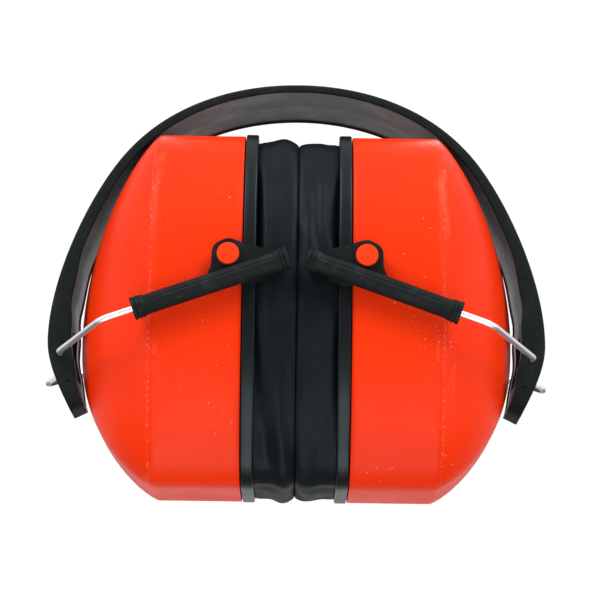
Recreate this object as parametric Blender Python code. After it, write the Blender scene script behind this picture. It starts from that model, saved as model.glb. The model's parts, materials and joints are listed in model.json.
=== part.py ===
"""Folding hearing-protection earmuffs, folded up for storage.

Lengths are in millimetres until a mesh is made, and the scene is in metres.
+Z is up and the muffs stand on the bottoms of their cups at z = 0.  The two cups
face each other across the plane x = 0, and the headband arches over them, in the
XZ plane.  Each side is a chain: headband, sprung wire yoke, pair of sliding clips, cup.
"""

import math

import bmesh
import bpy
from mathutils import Matrix, Vector

MM = 0.001
RIGHT, LEFT = 1, -1
SIDES = {"right": RIGHT, "left": LEFT}
FRONT, REAR = -1, 1
FACES = {"front": FRONT, "rear": REAR}

# Headband: one moulded strap, seen as an outer curve and a wall thickness along it.
BAND_HALF_WIDTH = 17.5
BAND_TOP = (0.0, 125.6)
BAND_SHOULDER = (54.9, 101.0)
BAND_HIP = (75.25, 44.7)
BAND_TIP = (68.4, 24.0)
SHOULDER_DIRECTION = (0.6, -0.8)
TIP_DIRECTION = (-0.45, -0.893)
BAND_HANDLES = ((19.4, 22.8), (16.6, 18.5), (6.0, 10.0))
BAND_STEPS = (10, 10, 10)
BAND_WALLS = ((0.0, 2.3), (0.40, 2.9), (0.62, 3.8), (0.74, 5.4), (0.82, 7.0), (0.90, 7.0), (1.0, 4.7))
BAND_EDGE = 0.6
BAND_RIDGE = 0.35
BAND_CORNER = 12.0
TIP_CROWDING = 1.7

# Window and slots at each end of the band, around the wire's pivot.
PIVOT = (71.2, 40.2)
WINDOW_HALF_WIDTH = 7.5
WINDOW_BELOW = 6.6
WINDOW_ABOVE = 8.7
SLOT_WIDTH = 2.5
SLOT_LENGTH = 5.2
SLOT_SLOPE = math.radians(236.0)

# Wire yoke: a leg in front and behind, splayed outwards and cranked through the window.
LEG_ANGLE = math.radians(160.5)
LEG_Y = 44.6
LEG_END = 70.0
SPLAY_START = 15.0
SPLAY_Y = 20.6
WIRE_RADIUS = 0.95
CRANK_Y = 6.0
CRANK_KNEE = (1.2, -4.4, 4.2)
CRANK_TIP = (6.6, -7.1)
WIRE_BENDS = (5.0, 2.4, 1.7, 1.8, 2.4)

# Clip: a tube that slides on the wire, with an ear plate for the cup's pivot.
TUBE_START = 24.6
TUBE_LENGTH = 48.0
TUBE_RADIUS = 2.95
BORE_RADIUS = 1.4
COLLAR_RADIUS = 3.5
COLLAR_LENGTH = 4.4
COLLAR_GROOVE = 0.3
PIN = (20.4, 65.5)
EAR_RADIUS = 4.6
EAR_HOLE_RADIUS = 2.6
EAR_NEAR_Y = 41.6
EAR_FAR_Y = 43.6

# Pivot stud, pressed through the ear plate into the cup.
STUD_RADIUS = 2.2
STUD_HEAD_RADIUS = 3.3
STUD_HEAD_Y = 43.9
STUD_TOP_Y = 45.5
STUD_LIP_RADIUS = 2.45
STUD_LIP_Y = 37.1
STUD_TIP_Y = 36.0

# Cup shell: a straight wall up to a crease, then a dome whose apex lies below mid-height.
CUP_RIM_X = 16.3
CUP_CREASE_X = 42.0
CUP_APEX_X = 66.0
CUP_HALF_WIDTH = 40.0
CUP_LOW = 0.15
CUP_HIGH = 108.8
CUP_APEX_Z = 46.7
CUP_FLAT = 28.0
CUP_WALL = 2.4
OVAL_POWER = 2.3
QUARTER_STEPS = 7
DOME_POWER = 1.3
DOME_TOP = 0.578
DOME_BOTTOM = 0.442
DOME_SIDE = 0.5
DOME_STATIONS = (0.06, 0.16, 0.30, 0.46, 0.63, 0.79, 0.91, 0.985)
BOSS_RADIUS = 4.4
BOSS_FOOT_Y = 38.6
BOSS_TOP_Y = 41.25
BOSS_BORE_RADIUS = 2.55

# Cushion carrier, the black ring that closes the cup and holds the cushion.
CARRIER_IN_X = 11.7
CARRIER_OUT_X = 16.0
CARRIER_WEB_X = 14.2
SPIGOT_END_X = 17.5
CARRIER = (41.0, 0.0, 109.2)
SPIGOT_OUTSIDE = (37.2, 2.95, 106.0)
SPIGOT_INSIDE = (35.6, 4.55, 104.4)
EAR_HOLE = (25.0, 16.0, 92.0)

# Cushion: a backing plate, a foam ring and the skin that wraps them, all around the ear hole.
PLATE_IN_X = 9.9
PLATE_OUT_X = 11.4
PLATE_END_X = 13.6
PLATE = (37.0, 3.2, 104.4)
PLATE_LIP_OUTSIDE = (24.6, 16.4, 91.6)
PLATE_LIP_INSIDE = (23.2, 17.8, 90.2)
SKIN_OUTSIDE = (39.5, 0.8, 106.8)
SKIN_INSIDE = (20.0, 23.0, 85.0)
SKIN_PROFILE = (
    (11.4, 0.0), (6.5, -0.015), (3.0, 0.01), (0.9, 0.13), (0.3, 0.35),
    (0.3, 0.65), (0.9, 0.87), (3.0, 0.99), (6.5, 1.015), (11.4, 1.0),
)
SKIN_LINING = ((11.4, 0.95), (4.0, 0.94), (1.8, 0.75), (1.8, 0.25), (4.0, 0.06), (11.4, 0.05))
FOAM_PROFILE = ((9.3, 0.08), (4.5, 0.09), (2.3, 0.27), (2.3, 0.73), (4.5, 0.91), (9.3, 0.92))

# Acoustic foam in the bottom of each cup.
LINER_START_X = 31.0
LINER_GAP = 1.0
LINER_STATIONS = (0.0, 0.30, 0.55, 0.78, 0.92)

ROUND_SEGMENTS = 14
WIRE_RESOLUTION = 2

BLACK_PLASTIC = ((0.016, 0.017, 0.018), 0.45, 0.0)
GLOSS_PLASTIC = ((0.010, 0.010, 0.011), 0.22, 0.0)
ORANGE_PLASTIC = ((0.85, 0.045, 0.008), 0.38, 0.0)
STEEL = ((0.72, 0.72, 0.73), 0.22, 1.0)
VINYL = ((0.014, 0.015, 0.016), 0.5, 0.0)
FOAM = ((0.10, 0.10, 0.11), 0.95, 0.0)
CUSHION_FOAM = ((0.62, 0.58, 0.45), 0.95, 0.0)


def clear_scene():
    for thing in list(bpy.data.objects):
        bpy.data.objects.remove(thing)


def make_material(name, finish):
    colour, roughness, metallic = finish
    material = bpy.data.materials.new(name)
    material.use_nodes = True
    shader = material.node_tree.nodes["Principled BSDF"]
    shader.inputs["Base Color"].default_value = (*colour, 1.0)
    shader.inputs["Roughness"].default_value = roughness
    shader.inputs["Metallic"].default_value = metallic
    return material


def link_object(name, data):
    thing = bpy.data.objects.new(name, data)
    bpy.context.collection.objects.link(thing)
    return thing


def attach(thing, empty):
    """Parent a thing to a joint's empty without moving it."""
    thing.parent = empty
    thing.matrix_parent_inverse = Matrix.Translation(-world_place(empty))


def world_place(empty):
    place = Vector(empty.location)
    if empty.parent:
        place += world_place(empty.parent)
    return place


def joint_empty(name, point, parent=None):
    empty = link_object(name, None)
    empty.location = Vector(point) * MM
    if parent:
        empty.location -= world_place(parent)
        empty.parent = parent
    return empty


def make_solid(name, bm, finish):
    """Turn a closed bmesh in millimetres into an object in metres, with faces outwards."""
    bmesh.ops.recalc_face_normals(bm, faces=bm.faces)
    bmesh.ops.scale(bm, vec=(MM, MM, MM), verts=bm.verts)
    mesh = bpy.data.meshes.new(name)
    bm.to_mesh(mesh)
    bm.free()
    mesh.shade_smooth()
    mesh.set_sharp_from_angle(angle=math.radians(35))
    thing = link_object(name, mesh)
    mesh.materials.append(make_material(name, finish))
    return thing


def make_helper(name, bm):
    """A solid that only shapes another one."""
    helper = make_solid(name, bm, BLACK_PLASTIC)
    helper.hide_render = True
    helper.display_type = "WIRE"
    return helper


def combine(thing, helper, operation):
    modifier = thing.modifiers.new(helper.name, "BOOLEAN")
    modifier.operation = operation
    modifier.solver = "EXACT"
    modifier.object = helper


def add_loft(bm, rings, ring_shaped=False):
    """Skin a list of equal rings of points, closed on itself or capped at both ends."""
    made = [[bm.verts.new(point) for point in ring] for ring in rings]
    pairs = list(zip(made, made[1:]))
    if ring_shaped:
        pairs.append((made[-1], made[0]))
    else:
        bm.faces.new(made[0])
        bm.faces.new(made[-1])
    for low, high in pairs:
        for index, vert in enumerate(low):
            after = (index + 1) % len(low)
            bm.faces.new((vert, low[after], high[after], high[index]))


def loft(rings, ring_shaped=False):
    bm = bmesh.new()
    add_loft(bm, rings, ring_shaped)
    return bm


def signed_power(value, power):
    return math.copysign(abs(value) ** power, value)


def oval(side, x, half_width, low, high, flat=None):
    """Ring of points across X: an oval with a flat of the given width at its top and bottom."""
    flat = CUP_FLAT * half_width / CUP_HALF_WIDTH if flat is None else flat
    middle, rise = (high + low) / 2, (high - low) / 2
    ring = []
    for quarter in range(4):
        flat_y = flat / 2 if quarter in (0, 3) else -flat / 2
        steps = QUARTER_STEPS + 1 if quarter in (0, 2) else QUARTER_STEPS
        for step in range(steps):
            angle = (quarter + step / QUARTER_STEPS) * math.pi / 2
            y = flat_y + (half_width - flat / 2) * signed_power(math.cos(angle), 2 / OVAL_POWER)
            z = middle + rise * signed_power(math.sin(angle), 2 / OVAL_POWER)
            ring.append(Vector((side * x, y, z)))
    return ring


def blended_oval(side, x, outside, inside, fraction):
    sizes = [a + (b - a) * fraction for a, b in zip(outside, inside)]
    return oval(side, x, *sizes)


def round_ring(centre, along, across, distance, radius):
    """Circle of points at a distance along an axis."""
    sideways = along.cross(across)
    ring = []
    for step in range(ROUND_SEGMENTS):
        angle = 2 * math.pi * step / ROUND_SEGMENTS
        spoke = across * math.cos(angle) + sideways * math.sin(angle)
        ring.append(centre + along * distance + spoke * radius)
    return ring


def turned(centre, along, across, profile, ring_shaped=False):
    """Solid turned about an axis from (distance, radius) pairs."""
    rings = [round_ring(centre, along, across, *pair) for pair in profile]
    return loft(rings, ring_shaped)


def box(low, high):
    bm = bmesh.new()
    bmesh.ops.create_cube(bm, size=1.0)
    size = Vector(high) - Vector(low)
    middle = (Vector(high) + Vector(low)) / 2
    bmesh.ops.scale(bm, vec=size, verts=bm.verts)
    bmesh.ops.translate(bm, vec=middle, verts=bm.verts)
    return bm


def bezier(start, start_handle, end_handle, end, fraction):
    rest = 1 - fraction
    return (
        start * rest**3
        + start_handle * 3 * rest**2 * fraction
        + end_handle * 3 * rest * fraction**2
        + end * fraction**3
    )


def band_outer_curve():
    """Points (x, z) of the right half of the band's outer face, from the top to the tip."""
    knots = [Vector(point) for point in (BAND_TOP, BAND_SHOULDER, BAND_HIP, BAND_TIP)]
    directions = [Vector(way) for way in ((1, 0), SHOULDER_DIRECTION, (0, -1), TIP_DIRECTION)]
    curve = [knots[0]]
    for index, (handles, steps) in enumerate(zip(BAND_HANDLES, BAND_STEPS)):
        start_handle = knots[index] + directions[index] * handles[0]
        end_handle = knots[index + 1] - directions[index + 1] * handles[1]
        crowding = TIP_CROWDING if index == len(BAND_STEPS) - 1 else 1.0
        for step in range(1, steps + 1):
            share = 1 - (1 - step / steps) ** crowding
            curve.append(bezier(knots[index], start_handle, end_handle, knots[index + 1], share))
    return curve


def smooth_value(pairs, at):
    """Value of a table at a place, eased between its entries."""
    for (low, low_value), (high, high_value) in zip(pairs, pairs[1:]):
        if at <= high:
            share = (at - low) / (high - low)
            share = share * share * (3 - 2 * share)
            return low_value + (high_value - low_value) * share
    return pairs[-1][1]


def path_lengths(points):
    lengths = [0.0]
    for low, high in zip(points, points[1:]):
        lengths.append(lengths[-1] + (high - low).length)
    return lengths


def band_half_width(from_tip):
    """Half the strap's width, which falls off round the corners of its tips."""
    if from_tip >= BAND_CORNER:
        return BAND_HALF_WIDTH
    drop = BAND_CORNER - from_tip
    return BAND_HALF_WIDTH - BAND_CORNER + math.sqrt(BAND_CORNER**2 - drop**2)


def band_section(point, normal, half, wall):
    """Ring of points around the strap: flat outside, two drafted halves inside."""
    edge = BAND_EDGE
    corners = (
        (-half + edge, 0.0), (half - edge, 0.0), (half, edge), (half, wall - edge),
        (half - edge, wall), (0.0, wall + BAND_RIDGE), (-half + edge, wall),
        (-half, wall - edge), (-half, edge),
    )
    ring = []
    for y, depth in corners:
        inward = point - normal * depth
        ring.append(Vector((inward.x, y, inward.y)))
    return ring


def band_rings():
    """Sections of the whole band, from the left tip over the top to the right tip."""
    curve = band_outer_curve()
    half = []
    lengths = path_lengths(curve)
    for index, (point, length) in enumerate(zip(curve, lengths)):
        ahead = curve[min(index + 1, len(curve) - 1)]
        behind = curve[max(index - 1, 0)]
        tangent = (ahead - behind).normalized()
        if index == 0:
            tangent = Vector((1, 0))
        normal = Vector((-tangent.y, tangent.x))
        wall = smooth_value(BAND_WALLS, length / lengths[-1])
        half.append((point, normal, band_half_width(lengths[-1] - length), wall))
    whole = []
    for point, normal, half_width, wall in reversed(half[1:]):
        mirrored = Vector((-point.x, point.y)), Vector((-normal.x, normal.y))
        whole.append(band_section(*mirrored, half_width, wall))
    whole += [band_section(*station) for station in half]
    return whole


def window_cutter(name, side):
    """Opening through the end of the band, in which the wire's crank swings."""
    x, z = PIVOT
    low = (side * x - 10, -WINDOW_HALF_WIDTH, z - WINDOW_BELOW)
    high = (side * x + 10, WINDOW_HALF_WIDTH, z + WINDOW_ABOVE)
    return make_helper("window_" + name, box(low, high))


def slot_cutter(name, side):
    """Round-ended slot across the band, from the pivot down and inwards."""
    radius = SLOT_WIDTH / 2
    outline = []
    for end, first in ((0.0, SLOT_SLOPE + math.pi / 2), (SLOT_LENGTH, SLOT_SLOPE - math.pi / 2)):
        for step in range(9):
            angle = first + math.pi * step / 8
            x = end * math.cos(SLOT_SLOPE) + radius * math.cos(angle)
            z = end * math.sin(SLOT_SLOPE) + radius * math.sin(angle)
            outline.append((side * (PIVOT[0] + x), PIVOT[1] + z))
    rings = [[Vector((x, y, z)) for x, z in outline] for y in (-BAND_HALF_WIDTH - 1, BAND_HALF_WIDTH + 1)]
    return make_helper("slot_" + name, loft(rings))


def build_headband():
    band = make_solid("headband", loft(band_rings()), BLACK_PLASTIC)
    for name, side in SIDES.items():
        combine(band, window_cutter(name, side), "DIFFERENCE")
        combine(band, slot_cutter(name, side), "DIFFERENCE")
    return band


def leg_vectors(side):
    """Directions of a leg: along it from the pivot, and square to it, upwards."""
    along = Vector((side * math.cos(LEG_ANGLE), 0, math.sin(LEG_ANGLE)))
    above = Vector((side * math.sin(LEG_ANGLE), 0, -math.cos(LEG_ANGLE)))
    return along, above


def pivot_point(side, y=0.0):
    return Vector((side * PIVOT[0], y, PIVOT[1]))


def rounded_path(corners, radii):
    """Replace each inner corner of a path by an arc."""
    path = [corners[0]]
    for before, corner, after, radius in zip(corners, corners[1:], corners[2:], radii):
        to_before = (before - corner).normalized()
        to_after = (after - corner).normalized()
        half_angle = to_before.angle(to_after) / 2
        reach = radius / math.tan(half_angle)
        middle = corner + (to_before + to_after).normalized() * radius / math.sin(half_angle)
        start, end = corner + to_before * reach - middle, corner + to_after * reach - middle
        sweep = start.angle(end)
        steps = max(2, round(sweep / math.radians(15)))
        for step in range(steps + 1):
            share = step / steps
            spoke = start * math.sin((1 - share) * sweep) + end * math.sin(share * sweep)
            path.append(middle + spoke / math.sin(sweep))
    path.append(corners[-1])
    return path


def yoke_path(side):
    """Centre line of a yoke, from the front leg's end, through the window, to the rear leg's."""
    along, _ = leg_vectors(side)
    knee_x, knee_z, knee_y = CRANK_KNEE
    half = [
        pivot_point(side, -LEG_Y) + along * LEG_END,
        pivot_point(side, -LEG_Y) + along * SPLAY_START,
        pivot_point(side, -SPLAY_Y),
        pivot_point(side, -CRANK_Y),
        pivot_point(side, -knee_y) + Vector((side * knee_x, 0, knee_z)),
    ]
    tip = pivot_point(side) + Vector((side * CRANK_TIP[0], 0, CRANK_TIP[1]))
    other = [Vector((point.x, -point.y, point.z)) for point in reversed(half)]
    bends = WIRE_BENDS[:4] + (WIRE_BENDS[4],) + WIRE_BENDS[3::-1]
    return rounded_path(half + [tip] + other, bends)


def build_yoke(name, side):
    curve = bpy.data.curves.new("yoke_wire_" + name, "CURVE")
    curve.dimensions = "3D"
    curve.bevel_depth = WIRE_RADIUS * MM
    curve.bevel_resolution = WIRE_RESOLUTION
    curve.use_fill_caps = True
    path = yoke_path(side)
    spline = curve.splines.new("POLY")
    spline.points.add(len(path) - 1)
    for point, place in zip(spline.points, path):
        point.co = (*(place * MM), 1.0)
    yoke = link_object("yoke_wire_" + name, curve)
    curve.materials.append(make_material("yoke_wire_" + name, STEEL))
    return yoke


def collar_profile(start, end):
    """Grooved collar between two distances along the tube, as (distance, radius) pairs."""
    groove = (end - start) / 5
    inner = COLLAR_RADIUS - COLLAR_GROOVE
    return [
        (start, COLLAR_RADIUS - 0.2), (start + groove * 1.6, COLLAR_RADIUS),
        (start + groove * 2.0, inner), (start + groove * 2.5, inner),
        (start + groove * 2.9, COLLAR_RADIUS), (end, TUBE_RADIUS),
    ]


def tube_profile():
    end = TUBE_START + TUBE_LENGTH
    outer_end = collar_profile(TUBE_START, TUBE_START + COLLAR_LENGTH)
    inner_end = collar_profile(end, end - COLLAR_LENGTH)
    bore = [(end, BORE_RADIUS), (TUBE_START, BORE_RADIUS)]
    return outer_end + inner_end[::-1] + bore


def pin_in_leg_frame():
    """The pivot pin's (along, above) place, measured from the wire's pivot."""
    along, above = leg_vectors(RIGHT)
    offset = Vector((PIN[0] - PIVOT[0], 0, PIN[1] - PIVOT[1]))
    return offset.dot(along), offset.dot(above)


def ear_outline():
    """Outline (along, above) of the ear plate, wrapped round the pin and blended along the tube."""
    pin_along, pin_above = pin_in_leg_frame()
    outline = [(pin_along - 9.8, 1.0)]
    for step in range(7):
        angle = math.radians(165 - 105 * step / 6)
        arc = (pin_along + EAR_RADIUS * math.cos(angle), pin_above + EAR_RADIUS * math.sin(angle))
        outline.append(arc)
    outline += [(pin_along + 5.8, pin_above + 1.4), (pin_along + 9.6, pin_above - 1.5)]
    outline += [(pin_along + 12.6, pin_above - 3.3), (pin_along + 12.6, -1.5)]
    outline += [(pin_along + 8.6, -2.4), (pin_along + 8.0, -3.6), (pin_along + 4.0, -3.6), (pin_along - 4.0, -1.0)]
    return outline


def bore_cutter(name, side, face):
    """The tube's bore again, which the ear plate would otherwise reach into."""
    along, above = leg_vectors(side)
    centre = pivot_point(side, face * LEG_Y)
    ends = ((TUBE_START - 1, BORE_RADIUS), (TUBE_START + TUBE_LENGTH + 1, BORE_RADIUS))
    return make_helper("bore_" + name, turned(centre, along, above, ends))


def ear_hole_cutter(name, side, face):
    pin = Vector((side * PIN[0], 0, PIN[1]))
    out = Vector((0, face, 0))
    ends = ((EAR_NEAR_Y - 1, EAR_HOLE_RADIUS), (EAR_FAR_Y + 1, EAR_HOLE_RADIUS))
    return make_helper("ear_hole_" + name, turned(pin, out, Vector((1, 0, 0)), ends))


def build_clip(name, side, face):
    along, above = leg_vectors(side)
    centre = pivot_point(side, face * LEG_Y)
    tube = turned(centre, along, above, tube_profile(), ring_shaped=True)
    clip = make_solid("clip_" + name, tube, BLACK_PLASTIC)
    rings = []
    for y in (EAR_NEAR_Y, EAR_FAR_Y):
        start = pivot_point(side, face * y)
        rings.append([start + along * s + above * n for s, n in ear_outline()])
    combine(clip, make_helper("ear_" + name, loft(rings)), "UNION")
    combine(clip, bore_cutter(name, side, face), "DIFFERENCE")
    combine(clip, ear_hole_cutter(name, side, face), "DIFFERENCE")
    return clip


def build_stud(name, side, face):
    profile = (
        (STUD_TIP_Y, STUD_RADIUS - 0.5), (STUD_LIP_Y - 0.4, STUD_LIP_RADIUS),
        (STUD_LIP_Y, STUD_LIP_RADIUS), (STUD_LIP_Y + 0.1, STUD_RADIUS),
        (STUD_HEAD_Y, STUD_RADIUS), (STUD_HEAD_Y, STUD_HEAD_RADIUS),
        (STUD_TOP_Y - 0.5, STUD_HEAD_RADIUS), (STUD_TOP_Y - 0.15, STUD_HEAD_RADIUS - 0.4),
        (STUD_TOP_Y, STUD_HEAD_RADIUS - 1.1),
    )
    pin = Vector((side * PIN[0], 0, PIN[1]))
    solid = turned(pin, Vector((0, face, 0)), Vector((1, 0, 0)), profile)
    return make_solid("pivot_stud_" + name, solid, ORANGE_PLASTIC)


def dome_sizes(depth):
    """Half width, low and high z of the dome at a depth from 0, the crease, to 1, the apex."""
    left = 1 - depth**DOME_POWER
    low = CUP_APEX_Z - (CUP_APEX_Z - CUP_LOW) * left**DOME_BOTTOM
    high = CUP_APEX_Z + (CUP_HIGH - CUP_APEX_Z) * left**DOME_TOP
    return CUP_HALF_WIDTH * left**DOME_SIDE, low, high


def shrink(sizes, amount):
    half_width, low, high = sizes
    return half_width - amount, low + amount, high - amount


def dome_rings(side, stations, wall):
    """Rings of the dome, or of a surface at a given distance inside it."""
    depth_length = CUP_APEX_X - CUP_CREASE_X
    rings = []
    for depth in stations:
        lean = math.sqrt(depth)
        x = CUP_CREASE_X + depth_length * depth - wall * lean
        rings.append(oval(side, x, *shrink(dome_sizes(depth), wall * (1 - depth**4))))
    return rings


def cup_rings(side, wall):
    straight = shrink((CUP_HALF_WIDTH, CUP_LOW, CUP_HIGH), wall)
    rim = oval(side, CUP_RIM_X, *straight)
    crease = oval(side, CUP_CREASE_X - 0.4 * wall, *straight)
    return [rim, crease] + dome_rings(side, DOME_STATIONS, wall)


def pair_of_cylinders(side, low, high, radius):
    """Two round pegs on the pivot pins' axis, front and rear."""
    bm = bmesh.new()
    pin = Vector((side * PIN[0], 0, PIN[1]))
    for face in FACES.values():
        out = Vector((0, face, 0))
        rings = [round_ring(pin, out, Vector((1, 0, 0)), y, radius) for y in (low, high)]
        add_loft(bm, rings)
    return bm


def build_cup_shell(name, side):
    outside = cup_rings(side, 0.0)
    inside = cup_rings(side, CUP_WALL)
    shell = make_solid("cup_shell_" + name, loft(outside[::-1] + inside), ORANGE_PLASTIC)
    bosses = pair_of_cylinders(side, BOSS_FOOT_Y, BOSS_TOP_Y, BOSS_RADIUS)
    combine(shell, make_helper("bosses_" + name, bosses), "UNION")
    bores = pair_of_cylinders(side, BOSS_FOOT_Y - 8, BOSS_TOP_Y + 1, BOSS_BORE_RADIUS)
    combine(shell, make_helper("boss_bores_" + name, bores), "DIFFERENCE")
    return shell


def build_foam_liner(name, side):
    inset = CUP_WALL + LINER_GAP
    straight = shrink((CUP_HALF_WIDTH, CUP_LOW, CUP_HIGH), inset)
    rings = [oval(side, LINER_START_X, *straight)] + dome_rings(side, LINER_STATIONS, inset)
    return make_solid("foam_liner_" + name, loft(rings), FOAM)


def build_carrier(name, side):
    section = (
        (CARRIER_IN_X, CARRIER), (CARRIER_OUT_X, CARRIER), (CARRIER_OUT_X, SPIGOT_OUTSIDE),
        (SPIGOT_END_X, SPIGOT_OUTSIDE), (SPIGOT_END_X, SPIGOT_INSIDE), (CARRIER_WEB_X, SPIGOT_INSIDE),
        (CARRIER_WEB_X, EAR_HOLE), (CARRIER_IN_X, EAR_HOLE),
    )
    rings = [oval(side, x, *sizes) for x, sizes in section]
    return make_solid("cushion_carrier_" + name, loft(rings, ring_shaped=True), GLOSS_PLASTIC)


def build_cushion_plate(name, side):
    section = (
        (PLATE_IN_X, PLATE), (PLATE_OUT_X, PLATE), (PLATE_OUT_X, PLATE_LIP_OUTSIDE),
        (PLATE_END_X, PLATE_LIP_OUTSIDE), (PLATE_END_X, PLATE_LIP_INSIDE), (PLATE_IN_X, PLATE_LIP_INSIDE),
    )
    rings = [oval(side, x, *sizes) for x, sizes in section]
    return make_solid("cushion_plate_" + name, loft(rings, ring_shaped=True), BLACK_PLASTIC)


def cushion_ring(name, side, profile, finish):
    rings = [blended_oval(side, x, SKIN_OUTSIDE, SKIN_INSIDE, share) for x, share in profile]
    return make_solid(name, loft(rings, ring_shaped=True), finish)


def build_cup(name, side):
    return [
        build_cup_shell(name, side),
        build_foam_liner(name, side),
        build_carrier(name, side),
        build_cushion_plate(name, side),
        cushion_ring("cushion_skin_" + name, side, SKIN_PROFILE + SKIN_LINING, VINYL),
        cushion_ring("cushion_foam_" + name, side, FOAM_PROFILE, CUSHION_FOAM),
    ]


def build_side(name, side):
    """Everything that hangs on one end of the headband, each piece on its joint's empty."""
    fold = joint_empty("fold_" + name, pivot_point(side))
    along, _ = leg_vectors(side)
    height = joint_empty("height_" + name, pivot_point(side) + along * TUBE_START, fold)
    tilt = joint_empty("tilt_" + name, (side * PIN[0], 0, PIN[1]), height)
    attach(build_yoke(name, side), fold)
    for piece in build_cup(name, side):
        attach(piece, tilt)
    for face_name, face in FACES.items():
        full_name = face_name + "_" + name
        attach(build_clip(full_name, side, face), height)
        attach(build_stud(full_name, side, face), tilt)


def build_earmuffs():
    clear_scene()
    build_headband()
    for name, side in SIDES.items():
        build_side(name, side)


build_earmuffs()
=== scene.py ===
"""Folding hearing-protection earmuffs, folded for storage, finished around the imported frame.

Sizes are in millimetres until a mesh is placed, when MM turns them into metres. +Z is up. The two
cups face each other across the plane x = 0, and the headband arches over them in the XZ plane.
"""

import json
import logging
import math
from collections.abc import Callable, Iterator, Mapping, Sequence
from contextlib import contextmanager
from dataclasses import dataclass, field
from enum import Enum

import bmesh
import bpy
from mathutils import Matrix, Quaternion, Vector, noise


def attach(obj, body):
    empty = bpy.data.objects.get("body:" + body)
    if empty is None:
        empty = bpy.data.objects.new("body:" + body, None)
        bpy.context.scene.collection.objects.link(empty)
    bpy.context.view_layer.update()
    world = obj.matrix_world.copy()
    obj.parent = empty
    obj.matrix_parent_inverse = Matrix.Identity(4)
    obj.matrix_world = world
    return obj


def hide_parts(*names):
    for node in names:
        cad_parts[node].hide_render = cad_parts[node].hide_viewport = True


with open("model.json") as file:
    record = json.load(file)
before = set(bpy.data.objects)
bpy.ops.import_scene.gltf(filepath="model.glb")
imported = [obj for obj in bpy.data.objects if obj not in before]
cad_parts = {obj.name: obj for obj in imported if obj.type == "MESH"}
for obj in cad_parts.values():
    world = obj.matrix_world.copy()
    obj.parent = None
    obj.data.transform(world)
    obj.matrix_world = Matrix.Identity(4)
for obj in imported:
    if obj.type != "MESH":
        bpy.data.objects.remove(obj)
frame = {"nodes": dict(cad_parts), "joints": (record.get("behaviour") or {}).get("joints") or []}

LOG = logging.getLogger("earmuffs")
MM = 0.001

Colour = tuple[float, float, float]
Pair = tuple[float, float]
Ring = list[Vector]
Thing = bpy.types.Object

# The faint blue-green of the black plastics' gloss.
COOL: Colour = (0.78, 0.96, 1.0)


class Side(Enum):
    """A side of the head. The value is the sign of x on that side."""

    RIGHT = 1
    LEFT = -1

    @property
    def word(self) -> str:
        """The side's name as the frame's nodes and bodies spell it."""
        return self.name.lower()


class Face(Enum):
    """The front or the rear of a cup. The value is the sign of y there."""

    FRONT = -1
    REAR = 1

    @property
    def word(self) -> str:
        """The face's name as the frame's nodes spell it."""
        return self.name.lower()


# Modelling on the bench: operators, and the few curves that the pieces share.


def deselect() -> None:
    """Deselect everything, since an operator acts on all that is selected."""
    bpy.ops.object.select_all(action="DESELECT")


def choose(piece: Thing) -> None:
    """Make a piece the active one and the only one selected.

    Args:
        piece: the piece to select.
    """
    deselect()
    piece.select_set(True)
    bpy.context.view_layer.objects.active = piece


@contextmanager
def editing(piece: Thing) -> Iterator[bmesh.types.BMesh]:
    """Open a piece in edit mode for the length of a with block.

    Args:
        piece: the mesh object to edit.

    Returns:
        The piece's edit mesh.
    """
    choose(piece)
    bpy.ops.object.mode_set(mode="EDIT")
    yield bmesh.from_edit_mesh(piece.data)
    bmesh.update_edit_mesh(piece.data)
    bpy.ops.object.mode_set(mode="OBJECT")


def select_where(mesh: bmesh.types.BMesh, test: Callable[[Vector], bool]) -> None:
    """Select the vertices, edges and faces whose points all pass a test, in metres.

    Args:
        mesh: the edit mesh.
        test: says whether a point belongs to the selection.
    """
    for vert in mesh.verts:
        vert.select = test(vert.co)
    for edge in mesh.edges:
        edge.select = all(vert.select for vert in edge.verts)
    for face in mesh.faces:
        face.select = all(vert.select for vert in face.verts)


def settle_ring(piece: Thing, ring: Ring) -> None:
    """Put the selected loop of vertices on the points of a ring.

    Args:
        piece: the object in edit mode.
        ring: the points in millimetres, in the loop's order.
    """
    mesh = bmesh.from_edit_mesh(piece.data)
    order = mesh.verts.layers.int["order"]
    for vert in mesh.verts:
        if vert.select:
            vert.co = ring[vert[order]] * MM


def extrude_through(name: str, rings: Sequence[Ring], around: bool = False) -> Thing:
    """Start a circle on the first ring and extrude it through all the others.

    Args:
        name: the new piece's name.
        rings: loops of points in millimetres, all of one length.
        around: whether the last ring joins the first, in place of a cap at each end.

    Returns:
        A closed piece with its faces outwards.
    """
    deselect()
    bpy.ops.mesh.primitive_circle_add(vertices=len(rings[0]), radius=rings[0][0].length * MM)
    piece = bpy.context.object
    piece.name = piece.data.name = name
    bpy.ops.object.mode_set(mode="EDIT")
    mesh = bmesh.from_edit_mesh(piece.data)
    order = mesh.verts.layers.int.new("order")
    for place, vert in enumerate(mesh.verts):
        vert[order] = place
    settle_ring(piece, rings[0])
    if not around:
        bpy.ops.mesh.edge_face_add()
        bpy.ops.mesh.select_all(action="SELECT")
    following = [*rings[1:], rings[0]] if around else rings[1:]
    for ring in following:
        bpy.ops.mesh.extrude_region()
        settle_ring(piece, ring)
    bpy.ops.mesh.select_all(action="SELECT")
    if around:
        bpy.ops.mesh.remove_doubles(threshold=1e-7)
    bpy.ops.mesh.normals_make_consistent(inside=False)
    bpy.ops.object.mode_set(mode="OBJECT")
    piece.data.attributes.remove(piece.data.attributes["order"])
    return piece


def smooth_shade(piece: Thing, degrees: float = 32.0) -> None:
    """Shade a piece smooth, with edges sharper than an angle left crisp."""
    choose(piece)
    bpy.ops.object.shade_smooth_by_angle(angle=math.radians(degrees))


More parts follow.
